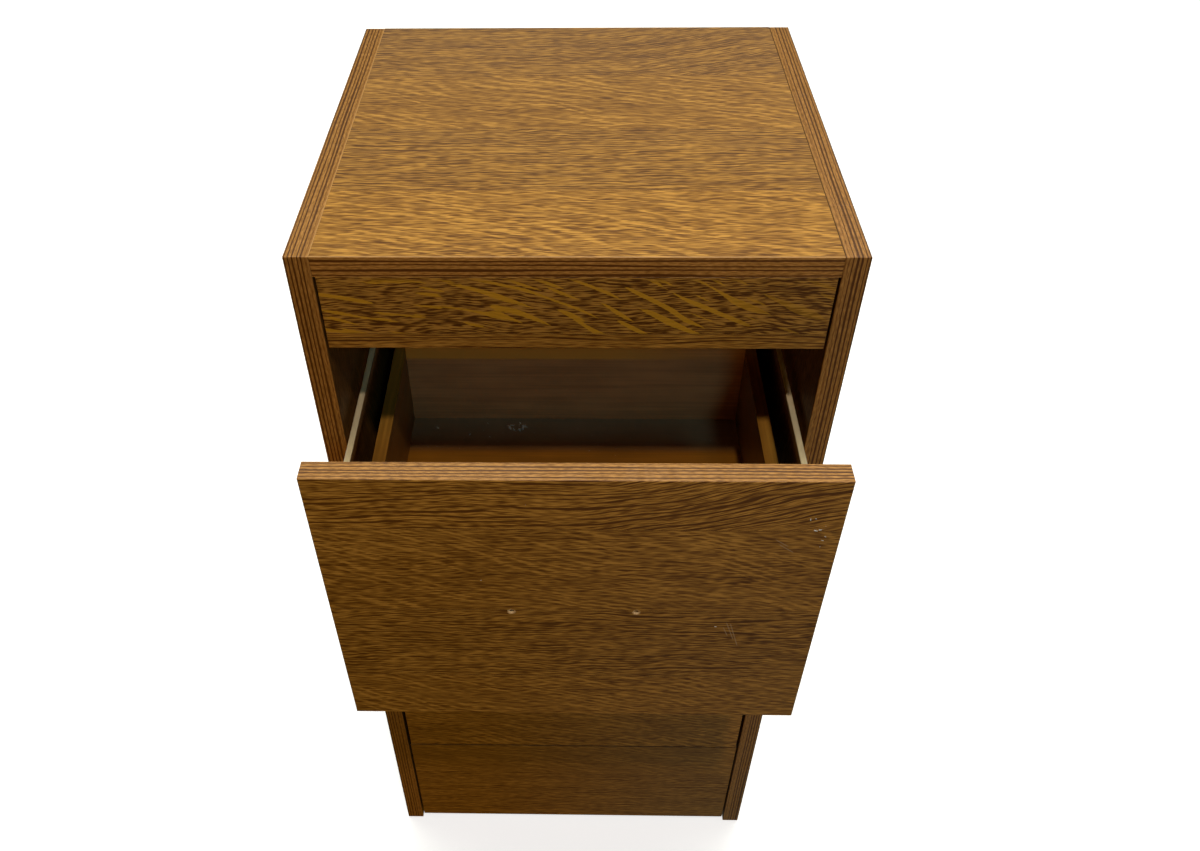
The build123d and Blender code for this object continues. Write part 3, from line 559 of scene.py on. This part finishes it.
def finish_case():
    """Oak on the case's boards, each with its own veneer plan, and plain sheet behind."""
    front, back = span("top_board", 1)
    inner = span("top_board", 0)[1]
    plinth_high = span("plinth_panel", 2)[1]
    top = [("flecked", back - 313), ("plain", back - 212), ("flamed", back - 108), ("streaked", back)]
    sides = [("plain", front + 70), ("flamed", front + 165), ("streaked", front + 255), ("flecked", back)]

    # The top's front arris gets a painted highlight line
    put_on(oak_board("oak_top", 0, 1, top, contrast=1.15, edge_light=1.12, stripe_gap=4.2,
                     # A painted grey-blue sheen towards the back of the top
                     stripe_middle=span("top_board", 2)[0] + BAND_MIDDLE, painted_sheen=(front + 60.0, back),
                     lines=[(2, 1, front - 1.0, front + 1.0, PAINTED_HIGHLIGHT_LINE)]), "top_board")
    # The plinth's top gets a painted shade strip under the lower front
    put_on(oak_board("oak_plinth", 0, 2, [("plain", plinth_high - 62), ("flamed", plinth_high)], contrast=0.8,
                     stripe_middle=front + 10.0, lines=[(2, 1, front - 1.0, front + 20.0, PAINTED_SHADE_LINE)]),
           "plinth_panel")
    # The case sides' inner faces get painted shade
    put_on(oak_board("oak_side_left", 2, 1, sides, stripe_shift=20.0, stripe_middle=-inner - 12.0,
                     # A painted highlight line along the left side's seam with the top board
                     lines=[(2, 0, -inner - 0.9, -inner + 0.5, PAINTED_HIGHLIGHT_LINE)], shaded_inner_face=inner), "side_panel_left")
    put_on(oak_board("oak_side_right", 2, 1, sides, stripe_shift=27.0, stripe_middle=inner + 12.0,
                     # A painted shade line along the right side's seam with the top board
                     lines=[(2, 0, inner - 0.5, inner + 0.8, PAINTED_SHADE_LINE)], shaded_inner_face=inner), "side_panel_right")
    put_on(oak_board("oak_bottom", 0, 1, [("plain", back)], stripe_shift=24.0,
                     stripe_middle=span("bottom_board", 2)[0] + BAND_MIDDLE), "bottom_board")
    put_on(plain_board("thin_sheet_foil", 0, (0.19, 0.09, 0.028), (0.26, 0.125, 0.040), 11.0), "back_panel")


def finish_fronts():
    """Oak on the fascia and on the two drawer fronts. The upper front is scratched and has lost flakes."""
    case_front = span("top_board", 1)[0]
    high = span("upper_front", 2)[1]
    lower_low, lower_high = span("lower_front", 2)
    fascia_low = span("fascia_panel", 2)[0]
    upper = [("faint", high - 232), ("plain", high - 143), ("faint", high - 50), ("combed", high)]
    lower = [("flecked", lower_low + 75), ("plain", lower_low + 160), ("flamed", lower_low + 250),
             ("streaked", lower_high)]
    fascia = [("ruled", fascia_low + 14), ("mottled", fascia_low + 80)]
    scratches = [((118.0, 607.0), (126.0, 583.0)), ((121.0, 606.0), (130.0, 575.0)),
                 ((116.0, 601.0), (121.0, 588.0)), ((142.0, 705.0), (153.5, 696.5)),
                 ((145.0, 700.0), (158.0, 690.0))]

    put_on(oak_board("oak_upper_front", 0, 2, upper, contrast=1.3, stripe_shift=8.0,
                     stripe_middle=span("upper_front", 1)[0] + BAND_MIDDLE, chips=handle_chips("upper"),
                     scratches=scratches), "upper_front")
    put_on(oak_board("oak_lower_front", 0, 2, lower, brightness=1.12, stripe_shift=12.0,
                     stripe_middle=case_front + BAND_MIDDLE, chips=handle_chips("lower")), "lower_front")
    put_on(oak_board("oak_fascia", 0, 2, fascia, contrast=1.5, stripe_shift=16.0,
                     stripe_middle=case_front + BAND_MIDDLE, flecks_between=(fascia_low + 13, fascia_low + 66)),
           "fascia_panel")


def finish_drawers():
    """Brown laminate, cream rails and brown brackets in the two drawer boxes."""
    # The drawer sides' inner faces get painted shade
    sides = plain_board("drawer_board_laminate", 1, (0.33, 0.153, 0.019), (0.50, 0.24, 0.031), 3.0,
                        shaded_inner_face=span("upper_side_right", 0)[0])
    # The rails' faces that look along X get a dark brown painted shade
    cream = painted_steel("cream_paint", (0.80, 0.66, 0.38), (0.62, 0.50, 0.29), 0.38, shaded_flank=(0.15, 0.075, 0.024))
    brackets = moulded_plastic("brown_bracket_plastic", (0.16, 0.085, 0.035), 0.45)
    for level in LEVELS:
        # The backs get a painted band of golden light near their top
        put_on(plain_board(f"{level}_back_laminate", 0, (0.45, 0.217, 0.086), (0.61, 0.306, 0.123), 7.0,
                           painted_light_above=span(f"{level}_back", 2)[1] - 78.0), f"{level}_back")
        # The bottoms get dust with a painted shade tint towards the back
        put_on(plain_board(f"{level}_bottom_foil", 0, (0.27, 0.108, 0.006), (0.38, 0.152, 0.009), 13.0,
                           dust_and_shade_from=span(f"{level}_back", 1)[0] - 46.0), f"{level}_bottom")
        put_on(brackets, f"{level}_rail_front_brackets", f"{level}_rail_rear_brackets")
        for hand in HANDS:
            put_on(sides, f"{level}_side_{hand}")
            put_on(cream, f"{level}_rail_{hand}")


def finish_fittings(zinc_plate):
    """Painted runners, nylon wheels, cams, dowels, and zinc-plated screws and brackets."""
    runner_paint = painted_steel("runner_powder_coat", (0.62, 0.52, 0.36), (0.48, 0.40, 0.28), 0.42)
    nylon = moulded_plastic("white_roller_nylon", (0.78, 0.77, 0.70), 0.35)
    cam_alloy = bare_metal("cam_zinc_alloy", (0.55, 0.55, 0.54), 0.42)
    put_on(plain_board("dowel_beech", 0, (0.46, 0.30, 0.16), (0.60, 0.42, 0.24), 15.0), "carcass_dowels")
    put_on(zinc_plate, "corner_brackets", "corner_bracket_screws", "carcass_cam_bolts", "runner_channel_screws")
    put_on(cam_alloy, "carcass_cams")
    for level in LEVELS:
        put_on(zinc_plate, f"{level}_rail_bracket_screws", f"{level}_side_cam_bolts", f"{level}_back_screws",
               f"{level}_runner_screws")
        put_on(cam_alloy, f"{level}_side_cams")
        for hand in HANDS:
            put_on(runner_paint, f"{level}_runner_{hand}", f"{level}_runner_channel_{hand}")
            put_on(nylon, f"{level}_front_roller_{hand}", f"{level}_rear_roller_{hand}")


# Small fastenings, broken edges and crumbs

SCREW_SIZES = [("Head Width", "NodeSocketFloat", 0.007), ("Head Height", "NodeSocketFloat", 0.002),
               ("Shank Width", "NodeSocketFloat", 0.0036), ("Length", "NodeSocketFloat", 0.012),
               ("Recess Width", "NodeSocketFloat", 0.0038), ("Recess Depth", "NodeSocketFloat", 0.0013),
               ("Seed", "NodeSocketInt", 1), ("Finish", "NodeSocketMaterial", None)]
CRUMB_SIZES = [("Roughness", "NodeSocketFloat", 0.55), ("Flatness", "NodeSocketFloat", 0.35),
               ("Seed", "NodeSocketInt", 1), ("Finish", "NodeSocketMaterial", None)]
# Screws that differ from SCREW_SIZES, in metres too
SHEET_SCREW = {"Head Width": 0.0066, "Head Height": 0.0012, "Recess Width": 0.0034, "Recess Depth": 0.0011}
LONG_SCREW = {"Head Width": 0.0076, "Head Height": 0.002, "Shank Width": 0.004, "Length": 0.036}
# A domed head, step by step, as shares of its height and of its half width; the height of its
# middle, and how far its neck reaches below the seat, in metres
DOME = ((0.0, 1.0), (0.45, 0.96), (0.8, 0.8), (1.0, 0.55))
DOME_MIDDLE, NECK_DEPTH = 1.02, 0.0002
# A flat head's rim, as a share of its half width, and how far the rim and the middle stand up
FLAT_RIM, RIM_HEIGHT, MIDDLE_HEIGHT = 0.97, 0.00005, 0.00006
SLOT_WIDTH, TUBE_SIDES, WELD = 0.0009, 20, 0.000004
# Rings of the funnel round a handle hole, in millimetres: radius, depth, and how ragged each is. The
# last two line the hole.
FUNNEL = ((3.0, 0.06, 0.22), (2.35, -0.45, 0.22), (1.75, -1.3, 0.22), (2.2, -2.2, 0.22), (2.44, -1.4, 0.0),
          (2.46, -0.2, 0.0))
FUNNEL_STEPS = 26
# How high a crumb's middle lies, as a share of its length, and how far a torn fleck's middle stands
# into the board, in millimetres
CRUMB_LIFT, FLECK_DEPTH = 0.12, 0.15


def geometry_tree(name, sizes):
    """A geometry tree with its named inputs: each size is a name, a socket kind and a value."""
    tree = bpy.data.node_groups.new(name, "GeometryNodeTree")
    tree.interface.new_socket(name="Geometry", in_out="INPUT", socket_type="NodeSocketGeometry")
    for label, kind, value in sizes:
        made = tree.interface.new_socket(name=label, in_out="INPUT", socket_type=kind)
        if value is not None:
            made.default_value = value
    tree.interface.new_socket(name="Geometry", in_out="OUTPUT", socket_type="NodeSocketGeometry")
    inputs = node(tree, "NodeGroupInput").outputs
    return tree, {label: Value(tree, inputs[label]) for label in ("Geometry", *(size[0] for size in sizes))}


def joined(tree, *meshes):
    """Several meshes as one."""
    made = tree.nodes.new("GeometryNodeJoinGeometry")
    for mesh in reversed(meshes):
        feed(tree, made.inputs[0], mesh)
    return made.outputs[0]


def lifted(tree, mesh, z):
    """A mesh, moved along Z."""
    way = vector(tree, 0.0, 0.0, z)
    return node(tree, "GeometryNodeTransform", {"Geometry": mesh, "Translation": way}).outputs[0]


def taper(tree, low_radius, high_radius, low, high):
    """A tapered open tube on Z from low to high."""
    mesh = node(tree, "GeometryNodeMeshCone", {"Vertices": TUBE_SIDES, "Radius Bottom": low_radius,
                                               "Radius Top": high_radius, "Depth": high - low}, fill_type="NONE")
    return lifted(tree, mesh.outputs[0], low)


def put_on_points(tree, given, instance, spin):
    """Sets an instance on each point, turned to the point's facing and spun at random; ends the tree."""
    facing = node(tree, "GeometryNodeInputNamedAttribute", {"Name": "facing"}, data_type="FLOAT_VECTOR").outputs[0]
    size = node(tree, "GeometryNodeInputNamedAttribute", {"Name": "size"}, data_type="FLOAT").outputs[0]
    aligned = node(tree, "FunctionNodeAlignRotationToVector", {"Vector": facing}, axis="Z").outputs[0]
    angle = node(tree, "FunctionNodeRandomValue", {2: 0.0, 3: spin, "Seed": given["Seed"]},
                 data_type="FLOAT").outputs[1]
    twist = node(tree, "FunctionNodeAxisAngleToRotation", {"Axis": (0.0, 0.0, 1.0), "Angle": angle}).outputs[0]
    turned = node(tree, "FunctionNodeRotateRotation", {"Rotation": aligned, "Rotate By": twist},
                  rotation_space="LOCAL").outputs[0]
    placed = node(tree, "GeometryNodeInstanceOnPoints", {"Points": given["Geometry"], "Instance": instance,
                                                         "Rotation": turned, "Scale": size}).outputs[0]
    real = node(tree, "GeometryNodeRealizeInstances", {"Geometry": placed}).outputs[0]
    finished = node(tree, "GeometryNodeSetMaterial", {"Geometry": real, "Material": given["Finish"]}).outputs[0]
    node(tree, "NodeGroupOutput", {"Geometry": finished})


def domed_head(tree, head, shank, height):
    """A domed head that stands on its seat, as tubes, with the place where the shank starts."""
    neck = -NECK_DEPTH
    tubes = [taper(tree, shank, head, neck, 0.0)]
    for (low, wide), (high, narrow) in zip(DOME, DOME[1:]):
        tubes.append(taper(tree, head * wide, head * narrow, height * low, height * high))
    tubes.append(taper(tree, head * DOME[-1][1], 0.0, height, height * DOME_MIDDLE))
    return tubes, neck


def flat_head(tree, head, shank, height):
    """A countersunk head level with its seat, as tubes, with the place where the shank starts."""
    neck = height * -1.0
    rim = head * FLAT_RIM
    return [taper(tree, shank, head, neck, 0.0), taper(tree, head, rim, 0.0, RIM_HEIGHT),
            taper(tree, rim, 0.0, RIM_HEIGHT, MIDDLE_HEIGHT)], neck


def screw_tree(name, sunk):
    """A cross-recessed wood screw on each point: a domed head on its seat, or a flat one sunk level."""
    tree, given = geometry_tree(name, SCREW_SIZES)
    head, shank, height = given["Head Width"] * 0.5, given["Shank Width"] * 0.5, given["Head Height"]
    tip = given["Length"] * -1.0
    point = tip + given["Shank Width"]
    top = 0.0 if sunk else height
    tubes, neck = (flat_head if sunk else domed_head)(tree, head, shank, height)
    tubes += [taper(tree, shank, shank, point, neck), taper(tree, 0.0, shank, tip, point)]
    body = node(tree, "GeometryNodeMergeByDistance", {"Geometry": joined(tree, *tubes), "Distance": WELD})
    cut = node(tree, "GeometryNodeMeshBoolean", {"Mesh 1": body.outputs[0]}, operation="DIFFERENCE")
    # One arm of the cross is a little deeper, so that no two faces of the cutters lie in one plane
    reach, depth = given["Recess Width"], given["Recess Depth"] * 2.0
    for width, length, deeper in ((reach, SLOT_WIDTH, 1.0), (SLOT_WIDTH, reach, 1.06)):
        size = vector(tree, width, length, depth * deeper)
        arm = node(tree, "GeometryNodeMeshCube", {"Size": size}).outputs[0]
        feed(tree, cut.inputs["Mesh 2"], lifted(tree, arm, top))
    put_on_points(tree, given, cut.outputs[0], math.pi / 2)
    return tree


def crumb_tree():
    """A small jagged flake on each point, as large as the point's size."""
    tree, given = geometry_tree("crumbs", CRUMB_SIZES)
    ball = node(tree, "GeometryNodeMeshIcoSphere", {"Radius": 0.5, "Subdivisions": 2}).outputs[0]
    position = node(tree, "GeometryNodeInputPosition").outputs[0]
    rough = node(tree, "ShaderNodeTexNoise", {"Vector": position, "Scale": 2.3, "Detail": 1.0}).outputs[1]
    push = node(tree, "ShaderNodeVectorMath", {0: rough, 1: (-0.5, -0.5, -0.5)}, operation="ADD").outputs[0]
    push = times(tree, push, given["Roughness"])
    jagged = node(tree, "GeometryNodeSetPosition", {"Geometry": ball, "Offset": push}).outputs[0]
    flat = vector(tree, 1.0, 0.45, given["Flatness"])
    flake = node(tree, "GeometryNodeTransform", {"Geometry": jagged, "Scale": flat}).outputs[0]
    put_on_points(tree, given, flake, FULL_TURN)
    return tree


def point_mesh(name, places):
    """A mesh of loose points. Each place is a point, its facing and its size."""
    mesh = bpy.data.meshes.new(name)
    mesh.from_pydata([tuple(place) for place, _, _ in places], [], [])
    mesh.attributes.new("facing", "FLOAT_VECTOR", "POINT")
    mesh.attributes.new("size", "FLOAT", "POINT")
    for number, (_, way, scale) in enumerate(places):
        mesh.attributes["facing"].data[number].vector = way
        mesh.attributes["size"].data[number].value = scale
    return mesh


def grow(name, places, tree, values, body, replaced=()):
    """Runs a geometry tree on points, keeps the plain mesh, hangs the piece on its body and hides the parts it
    replaces.
    """
    piece = linked(name, point_mesh(name, places))
    modifier = piece.modifiers.new("make", "NODES")
    modifier.node_group = tree
    identifiers = {item.name: item.identifier for item in tree.interface.items_tree if item.in_out == "INPUT"}
    for label, value in values.items():
        modifier[identifiers[label]] = value
    grown = bpy.data.meshes.new_from_object(piece.evaluated_get(bpy.context.evaluated_depsgraph_get()))
    piece.modifiers.remove(modifier)
    piece.data = grown
    grown.name = name
    grown.materials.clear()
    grown.materials.append(values["Finish"])
    for face in grown.polygons:
        face.material_index = 0
    for attribute in ("facing", "size"):
        if attribute in grown.attributes:
            grown.attributes.remove(grown.attributes[attribute])
    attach(piece, body)
    if replaced:
        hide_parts(*replaced)


def islands(mesh):
    """The separate shells of a mesh, each as a list of its points."""
    waiting = set(mesh.verts)
    while waiting:
        start = min(waiting, key=lambda vertex: vertex.index)
        island, edge = {start}, [start]
        while edge:
            near = {e.other_vert(v) for v in edge for e in v.link_edges} - island
            island |= near
            edge = list(near)
        waiting -= island
        yield [vertex.co for vertex in island]


def screw_seat(points):
    """A screw's seat and direction, from its length and its widest ring, which lies at its head."""
    low = Vector([min(p[axis] for p in points) for axis in range(3)])
    high = Vector([max(p[axis] for p in points) for axis in range(3)])
    middle = (low + high) / 2
    axis = max(range(3), key=lambda a: high[a] - low[a])

    def off_axis(point):
        arm = point - middle
        arm[axis] = 0.0
        return arm.length

    ring = max(points, key=off_axis)[axis]
    seat = middle.copy()
    seat[axis] = ring
    way = Vector((0.0, 0.0, 0.0))
    way[axis] = 1.0 if ring > middle[axis] else -1.0
    return seat, way, 1.0


def screw_places(name):
    """Seat and direction of each screw of a CAD node, in order of place."""
    mesh = bmesh.new()
    mesh.from_mesh(nodes[name].data)
    bmesh.ops.remove_doubles(mesh, verts=mesh.verts, dist=1e-6)
    places = [screw_seat(points) for points in islands(mesh)]
    mesh.free()
    return sorted(places, key=lambda place: tuple(round(c, 5) for c in place[0]))


def make_screws(zinc_plate):
    """Crossed heads for all screws that can be seen when the drawers are out."""
    domed = screw_tree("pan_head_screws", sunk=False)
    flat = screw_tree("sunk_head_screws", sunk=True)
    rows = [("corner_bracket_screws", "cabinet", domed, {}),
            ("runner_channel_screws", "cabinet", flat, SHEET_SCREW)]
    for level in LEVELS:
        rows += [(f"{level}_rail_bracket_screws", f"{level}_drawer", domed, {}),
                 (f"{level}_runner_screws", f"{level}_drawer", domed, {}),
                 (f"{level}_back_screws", f"{level}_drawer", flat, LONG_SCREW)]
    for number, (held, body, tree, sizes) in enumerate(rows):
        values = {"Seed": SCREW_SEED + number, "Finish": zinc_plate, **sizes}
        grow(f"{held}_crossed", screw_places(held), tree, values, body, [held])


def broken_rim(name, material, body, x, face, z, seed):
    """A ragged funnel of bare chipboard round a handle hole: a closed ring, open in the middle."""
    chance = random.Random(seed)
    mesh = bmesh.new()
    rings = []
    for radius, depth, raggedness in FUNNEL:
        ring = []
        for step in range(FUNNEL_STEPS):
            turn = FULL_TURN * step / FUNNEL_STEPS
            reach = radius * (1.0 + (chance.random() - 0.5) * raggedness)
            point = (x + reach * math.cos(turn), face - depth, z + reach * math.sin(turn))
            ring.append(mesh.verts.new([part / MM for part in point]))
        rings.append(ring)
    for ring, following in zip(rings, rings[1:] + rings[:1]):
        for step in range(FUNNEL_STEPS):
            after = (step + 1) % FUNNEL_STEPS
            mesh.faces.new((ring[step], ring[after], following[after], following[step]))
    bmesh.ops.recalc_face_normals(mesh, faces=mesh.faces)
    if mesh.calc_volume(signed=True) < 0.0:
        bmesh.ops.reverse_faces(mesh, faces=mesh.faces)
    made = bpy.data.meshes.new(name)
    mesh.to_mesh(made)
    mesh.free()
    made.materials.append(material)
    piece = linked(name, made)
    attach(piece, body)


def make_rims(chipboard):
    """Broken chipboard round the four handle holes."""
    for level in LEVELS:
        face = span(f"{level}_front", 1)[0]
        for number, (hand, (x, z)) in enumerate(zip(HANDS, handle_holes(level))):
            broken_rim(f"{level}_handle_hole_rim_{hand}", chipboard, f"{level}_drawer", x, face, z,
                       RIM_SEED + number)


def make_crumbs(flakes, finish):
    """Crumbs on the open drawer's bottom, as x, y and length, with a small heap and fine dust."""
    crumbs = [(-140.7, 21.2, 3.2), (-106.9, 11.7, 2.6), (-89.5, 28.3, 2.2), (-86.2, 8.1, 1.8), (-67.0, 22.0, 6.4),
              (-53.0, 21.8, 6.8), (-51.0, 24.0, 4.6), (-56.0, 20.0, 3.4), (-62.0, 18.5, 4.2)]
    chance = random.Random(HEAP_SEED)
    crumbs += [(chance.gauss(-61.0, 6.0), chance.uniform(17.0, 29.0), chance.uniform(1.2, 3.0)) for _ in range(16)]
    crumbs += [(chance.uniform(-150.0, 150.0), chance.uniform(-20.0, 30.0), chance.uniform(0.4, 0.9))
               for _ in range(40)]
    floor = span("upper_bottom", 2)[1]
    places = [((x / MM, y / MM, (floor + CRUMB_LIFT * long) / MM), (chance.uniform(-0.2, 0.2), -0.2, 1.0),
               long / MM) for x, y, long in crumbs]
    grow("drawer_crumbs", places, flakes, {"Seed": CRUMB_SEED, "Finish": finish}, "upper_drawer")


def make_torn_flecks(flakes, finish):
    """Torn flecks of laminate on the upper front, as x, z and length."""
    torn = [(163.9, 726.7, 2.6), (167.2, 727.2, 2.0), (175.5, 719.5, 1.4), (169.0, 714.7, 3.4),
            (172.4, 715.5, 3.0), (176.7, 708.4, 2.2), (175.6, 704.1, 2.4), (175.0, 697.5, 1.8),
            (110.2, 601.0, 2.4), (-68.9, 656.6, 1.8), (-34.0, 739.3, 1.1)]
    face = span("upper_front", 1)[0]
    places = [((x / MM, (face + FLECK_DEPTH) / MM, z / MM), (0.1, -1.0, 0.5), long / MM) for x, z, long in torn]
    grow("torn_laminate_flecks", places, flakes, {"Seed": FLECK_SEED, "Flatness": 0.25, "Finish": finish},
         "upper_drawer")


# Camera, floor and lights

def make_camera():
    """The photograph's camera: place, turn, lens and a small shift."""
    data = bpy.data.cameras.new("camera")
    data.sensor_width = SENSOR
    data.sensor_fit = "HORIZONTAL"
    data.lens = FOCAL_PIXELS / PHOTO_WIDTH * SENSOR
    data.shift_x = (PHOTO_WIDTH / 2 - CENTRE_PIXEL[0]) / PHOTO_WIDTH
    data.shift_y = (CENTRE_PIXEL[1] - PHOTO_HEIGHT / 2) / PHOTO_WIDTH
    data.clip_start, data.clip_end = 0.01, 60.0
    camera = linked("camera", data)
    ahead = Vector((math.sin(CAMERA_TURN) * math.cos(CAMERA_DOWN), math.cos(CAMERA_TURN) * math.cos(CAMERA_DOWN),
                    -math.sin(CAMERA_DOWN)))
    level = Vector((math.cos(CAMERA_TURN), -math.sin(CAMERA_TURN), 0.0))
    upright = level.cross(ahead)
    right = math.cos(CAMERA_ROLL) * level + math.sin(CAMERA_ROLL) * upright
    up = math.cos(CAMERA_ROLL) * upright - math.sin(CAMERA_ROLL) * level
    turn = Matrix((right, up, -ahead)).transposed()
    camera.matrix_world = Matrix.Translation(CAMERA_PLACE) @ turn.to_4x4()
    bpy.context.scene.camera = camera


def emission(tree, colour, strength=1.0):
    """A surface that glows by itself."""
    return node(tree, "ShaderNodeEmission", {"Color": colour, "Strength": strength}).outputs[0]


def make_floor():
    """A pale floor. Seen directly it is near white; what it throws back on the part is dim."""
    mesh = bpy.data.meshes.new("floor")
    half = FLOOR_HALF
    mesh.from_pydata([(-half, -half, 0), (half, -half, 0), (half, half, 0), (-half, half, 0)], [], [(0, 1, 2, 3)])
    floor = linked("floor", mesh)
    material, tree, shader = new_material("pale_floor")
    tree.nodes.remove(shader)
    seen = node(tree, "ShaderNodeLightPath").outputs["Is Camera Ray"]
    pale = node(tree, "ShaderNodeBsdfDiffuse", {"Color": (0.8, 0.8, 0.8, 1.0)}).outputs[0]
    shown = node(tree, "ShaderNodeAddShader", {0: pale, 1: emission(tree, (1.0, 1.0, 1.0, 1.0), FLOOR_GLOW)})
    sideways = place_mm(tree)[0].ramp(-150.0, 250.0)
    thrown = emission(tree, mix_colour(tree, sideways, FLOOR_LEFT, FLOOR_RIGHT))
    both = node(tree, "ShaderNodeMixShader", {0: seen, 1: thrown, 2: shown.outputs[0]}).outputs[0]
    feed(tree, tree.nodes["Material Output"].inputs["Surface"], both)
    mesh.materials.append(material)


def aim(light, place, target):
    """Puts a light in its place and turns it to its target."""
    light.location = place
    light.rotation_mode = "QUATERNION"
    light.rotation_quaternion = (Vector(target) - Vector(place)).to_track_quat("-Z", "Y")


def sun(name, towards, strength, colour, width):
    """A far light from the direction towards, as wide in the sky as its angle in degrees."""
    data = bpy.data.lights.new(name, "SUN")
    data.energy, data.color, data.angle = strength, colour, math.radians(width)
    aim(linked(name, data), Vector(towards) * 3.0, (0.0, 0.0, 0.0))


def lamp(name, place, target, power, colour, side):
    """A square lamp under the ceiling."""
    data = bpy.data.lights.new(name, "AREA")
    data.energy, data.color, data.shape, data.size = power, colour, "SQUARE", side
    aim(linked(name, data), place, target)


def make_lights():
    """Wide light from overhead, lamps ahead that throw the drawer's shadows, and weak fills."""
    sun("overhead", (0.0, 0.35, 1.0), 2.2, (0.951, 1.0, 0.869), 45.0)
    sun("fill_left", (-1.0, 0.75, 0.15), 0.60, (1.0, 0.97, 0.92), 30.0)
    sun("fill_right", (0.75, 1.0, 0.25), 0.50, (1.0, 0.97, 0.93), 30.0)
    lamp("front_lamp", (0.28, -1.12, 2.6), (0.0, -0.13, 0.75), 14.0, (1.0, 0.83, 0.737), 0.10)
    lamp("cool_lamp", (0.76, -2.5, 2.6), (0.0, -0.1, 0.6), 8.9, (0.469, 0.843, 1.0), 0.3)
    lamp("low_lamp", (0.0, -4.0, 2.65), (0.0, -0.1, 0.6), 6.0, (1.0, 0.6, 0.12), 0.2)


def make_world():
    """Dim surroundings for the part, and a white background where the floor ends."""
    world = bpy.data.worlds.new("studio")
    world.use_nodes = True
    tree = world.node_tree
    background = tree.nodes["Background"]
    seen = Value(tree, node(tree, "ShaderNodeLightPath").outputs["Is Camera Ray"])
    background.inputs["Color"].default_value = (1.0, 1.0, 1.0, 1.0)
    feed(tree, background.inputs["Strength"], seen.ramp(0.0, 1.0, SURROUNDINGS, 1.0, kind="LINEAR"))
    bpy.context.scene.world = world


zinc = bare_metal("zinc_plate", (0.62, 0.62, 0.60), 0.32)
finish_case()
finish_fronts()
finish_drawers()
finish_fittings(zinc)

pale = crumbly("pale_crumbs", (0.95, 0.94, 0.90), (0.72, 0.68, 0.60))
flake_tree = crumb_tree()
make_screws(zinc)
make_rims(crumbly("bare_chipboard", (0.95, 0.70, 0.36), (0.80, 0.54, 0.27)))
make_crumbs(flake_tree, pale)
make_torn_flecks(flake_tree, pale)

make_camera()
make_floor()
make_lights()
make_world()
bpy.context.scene.view_settings.view_transform = "Standard"
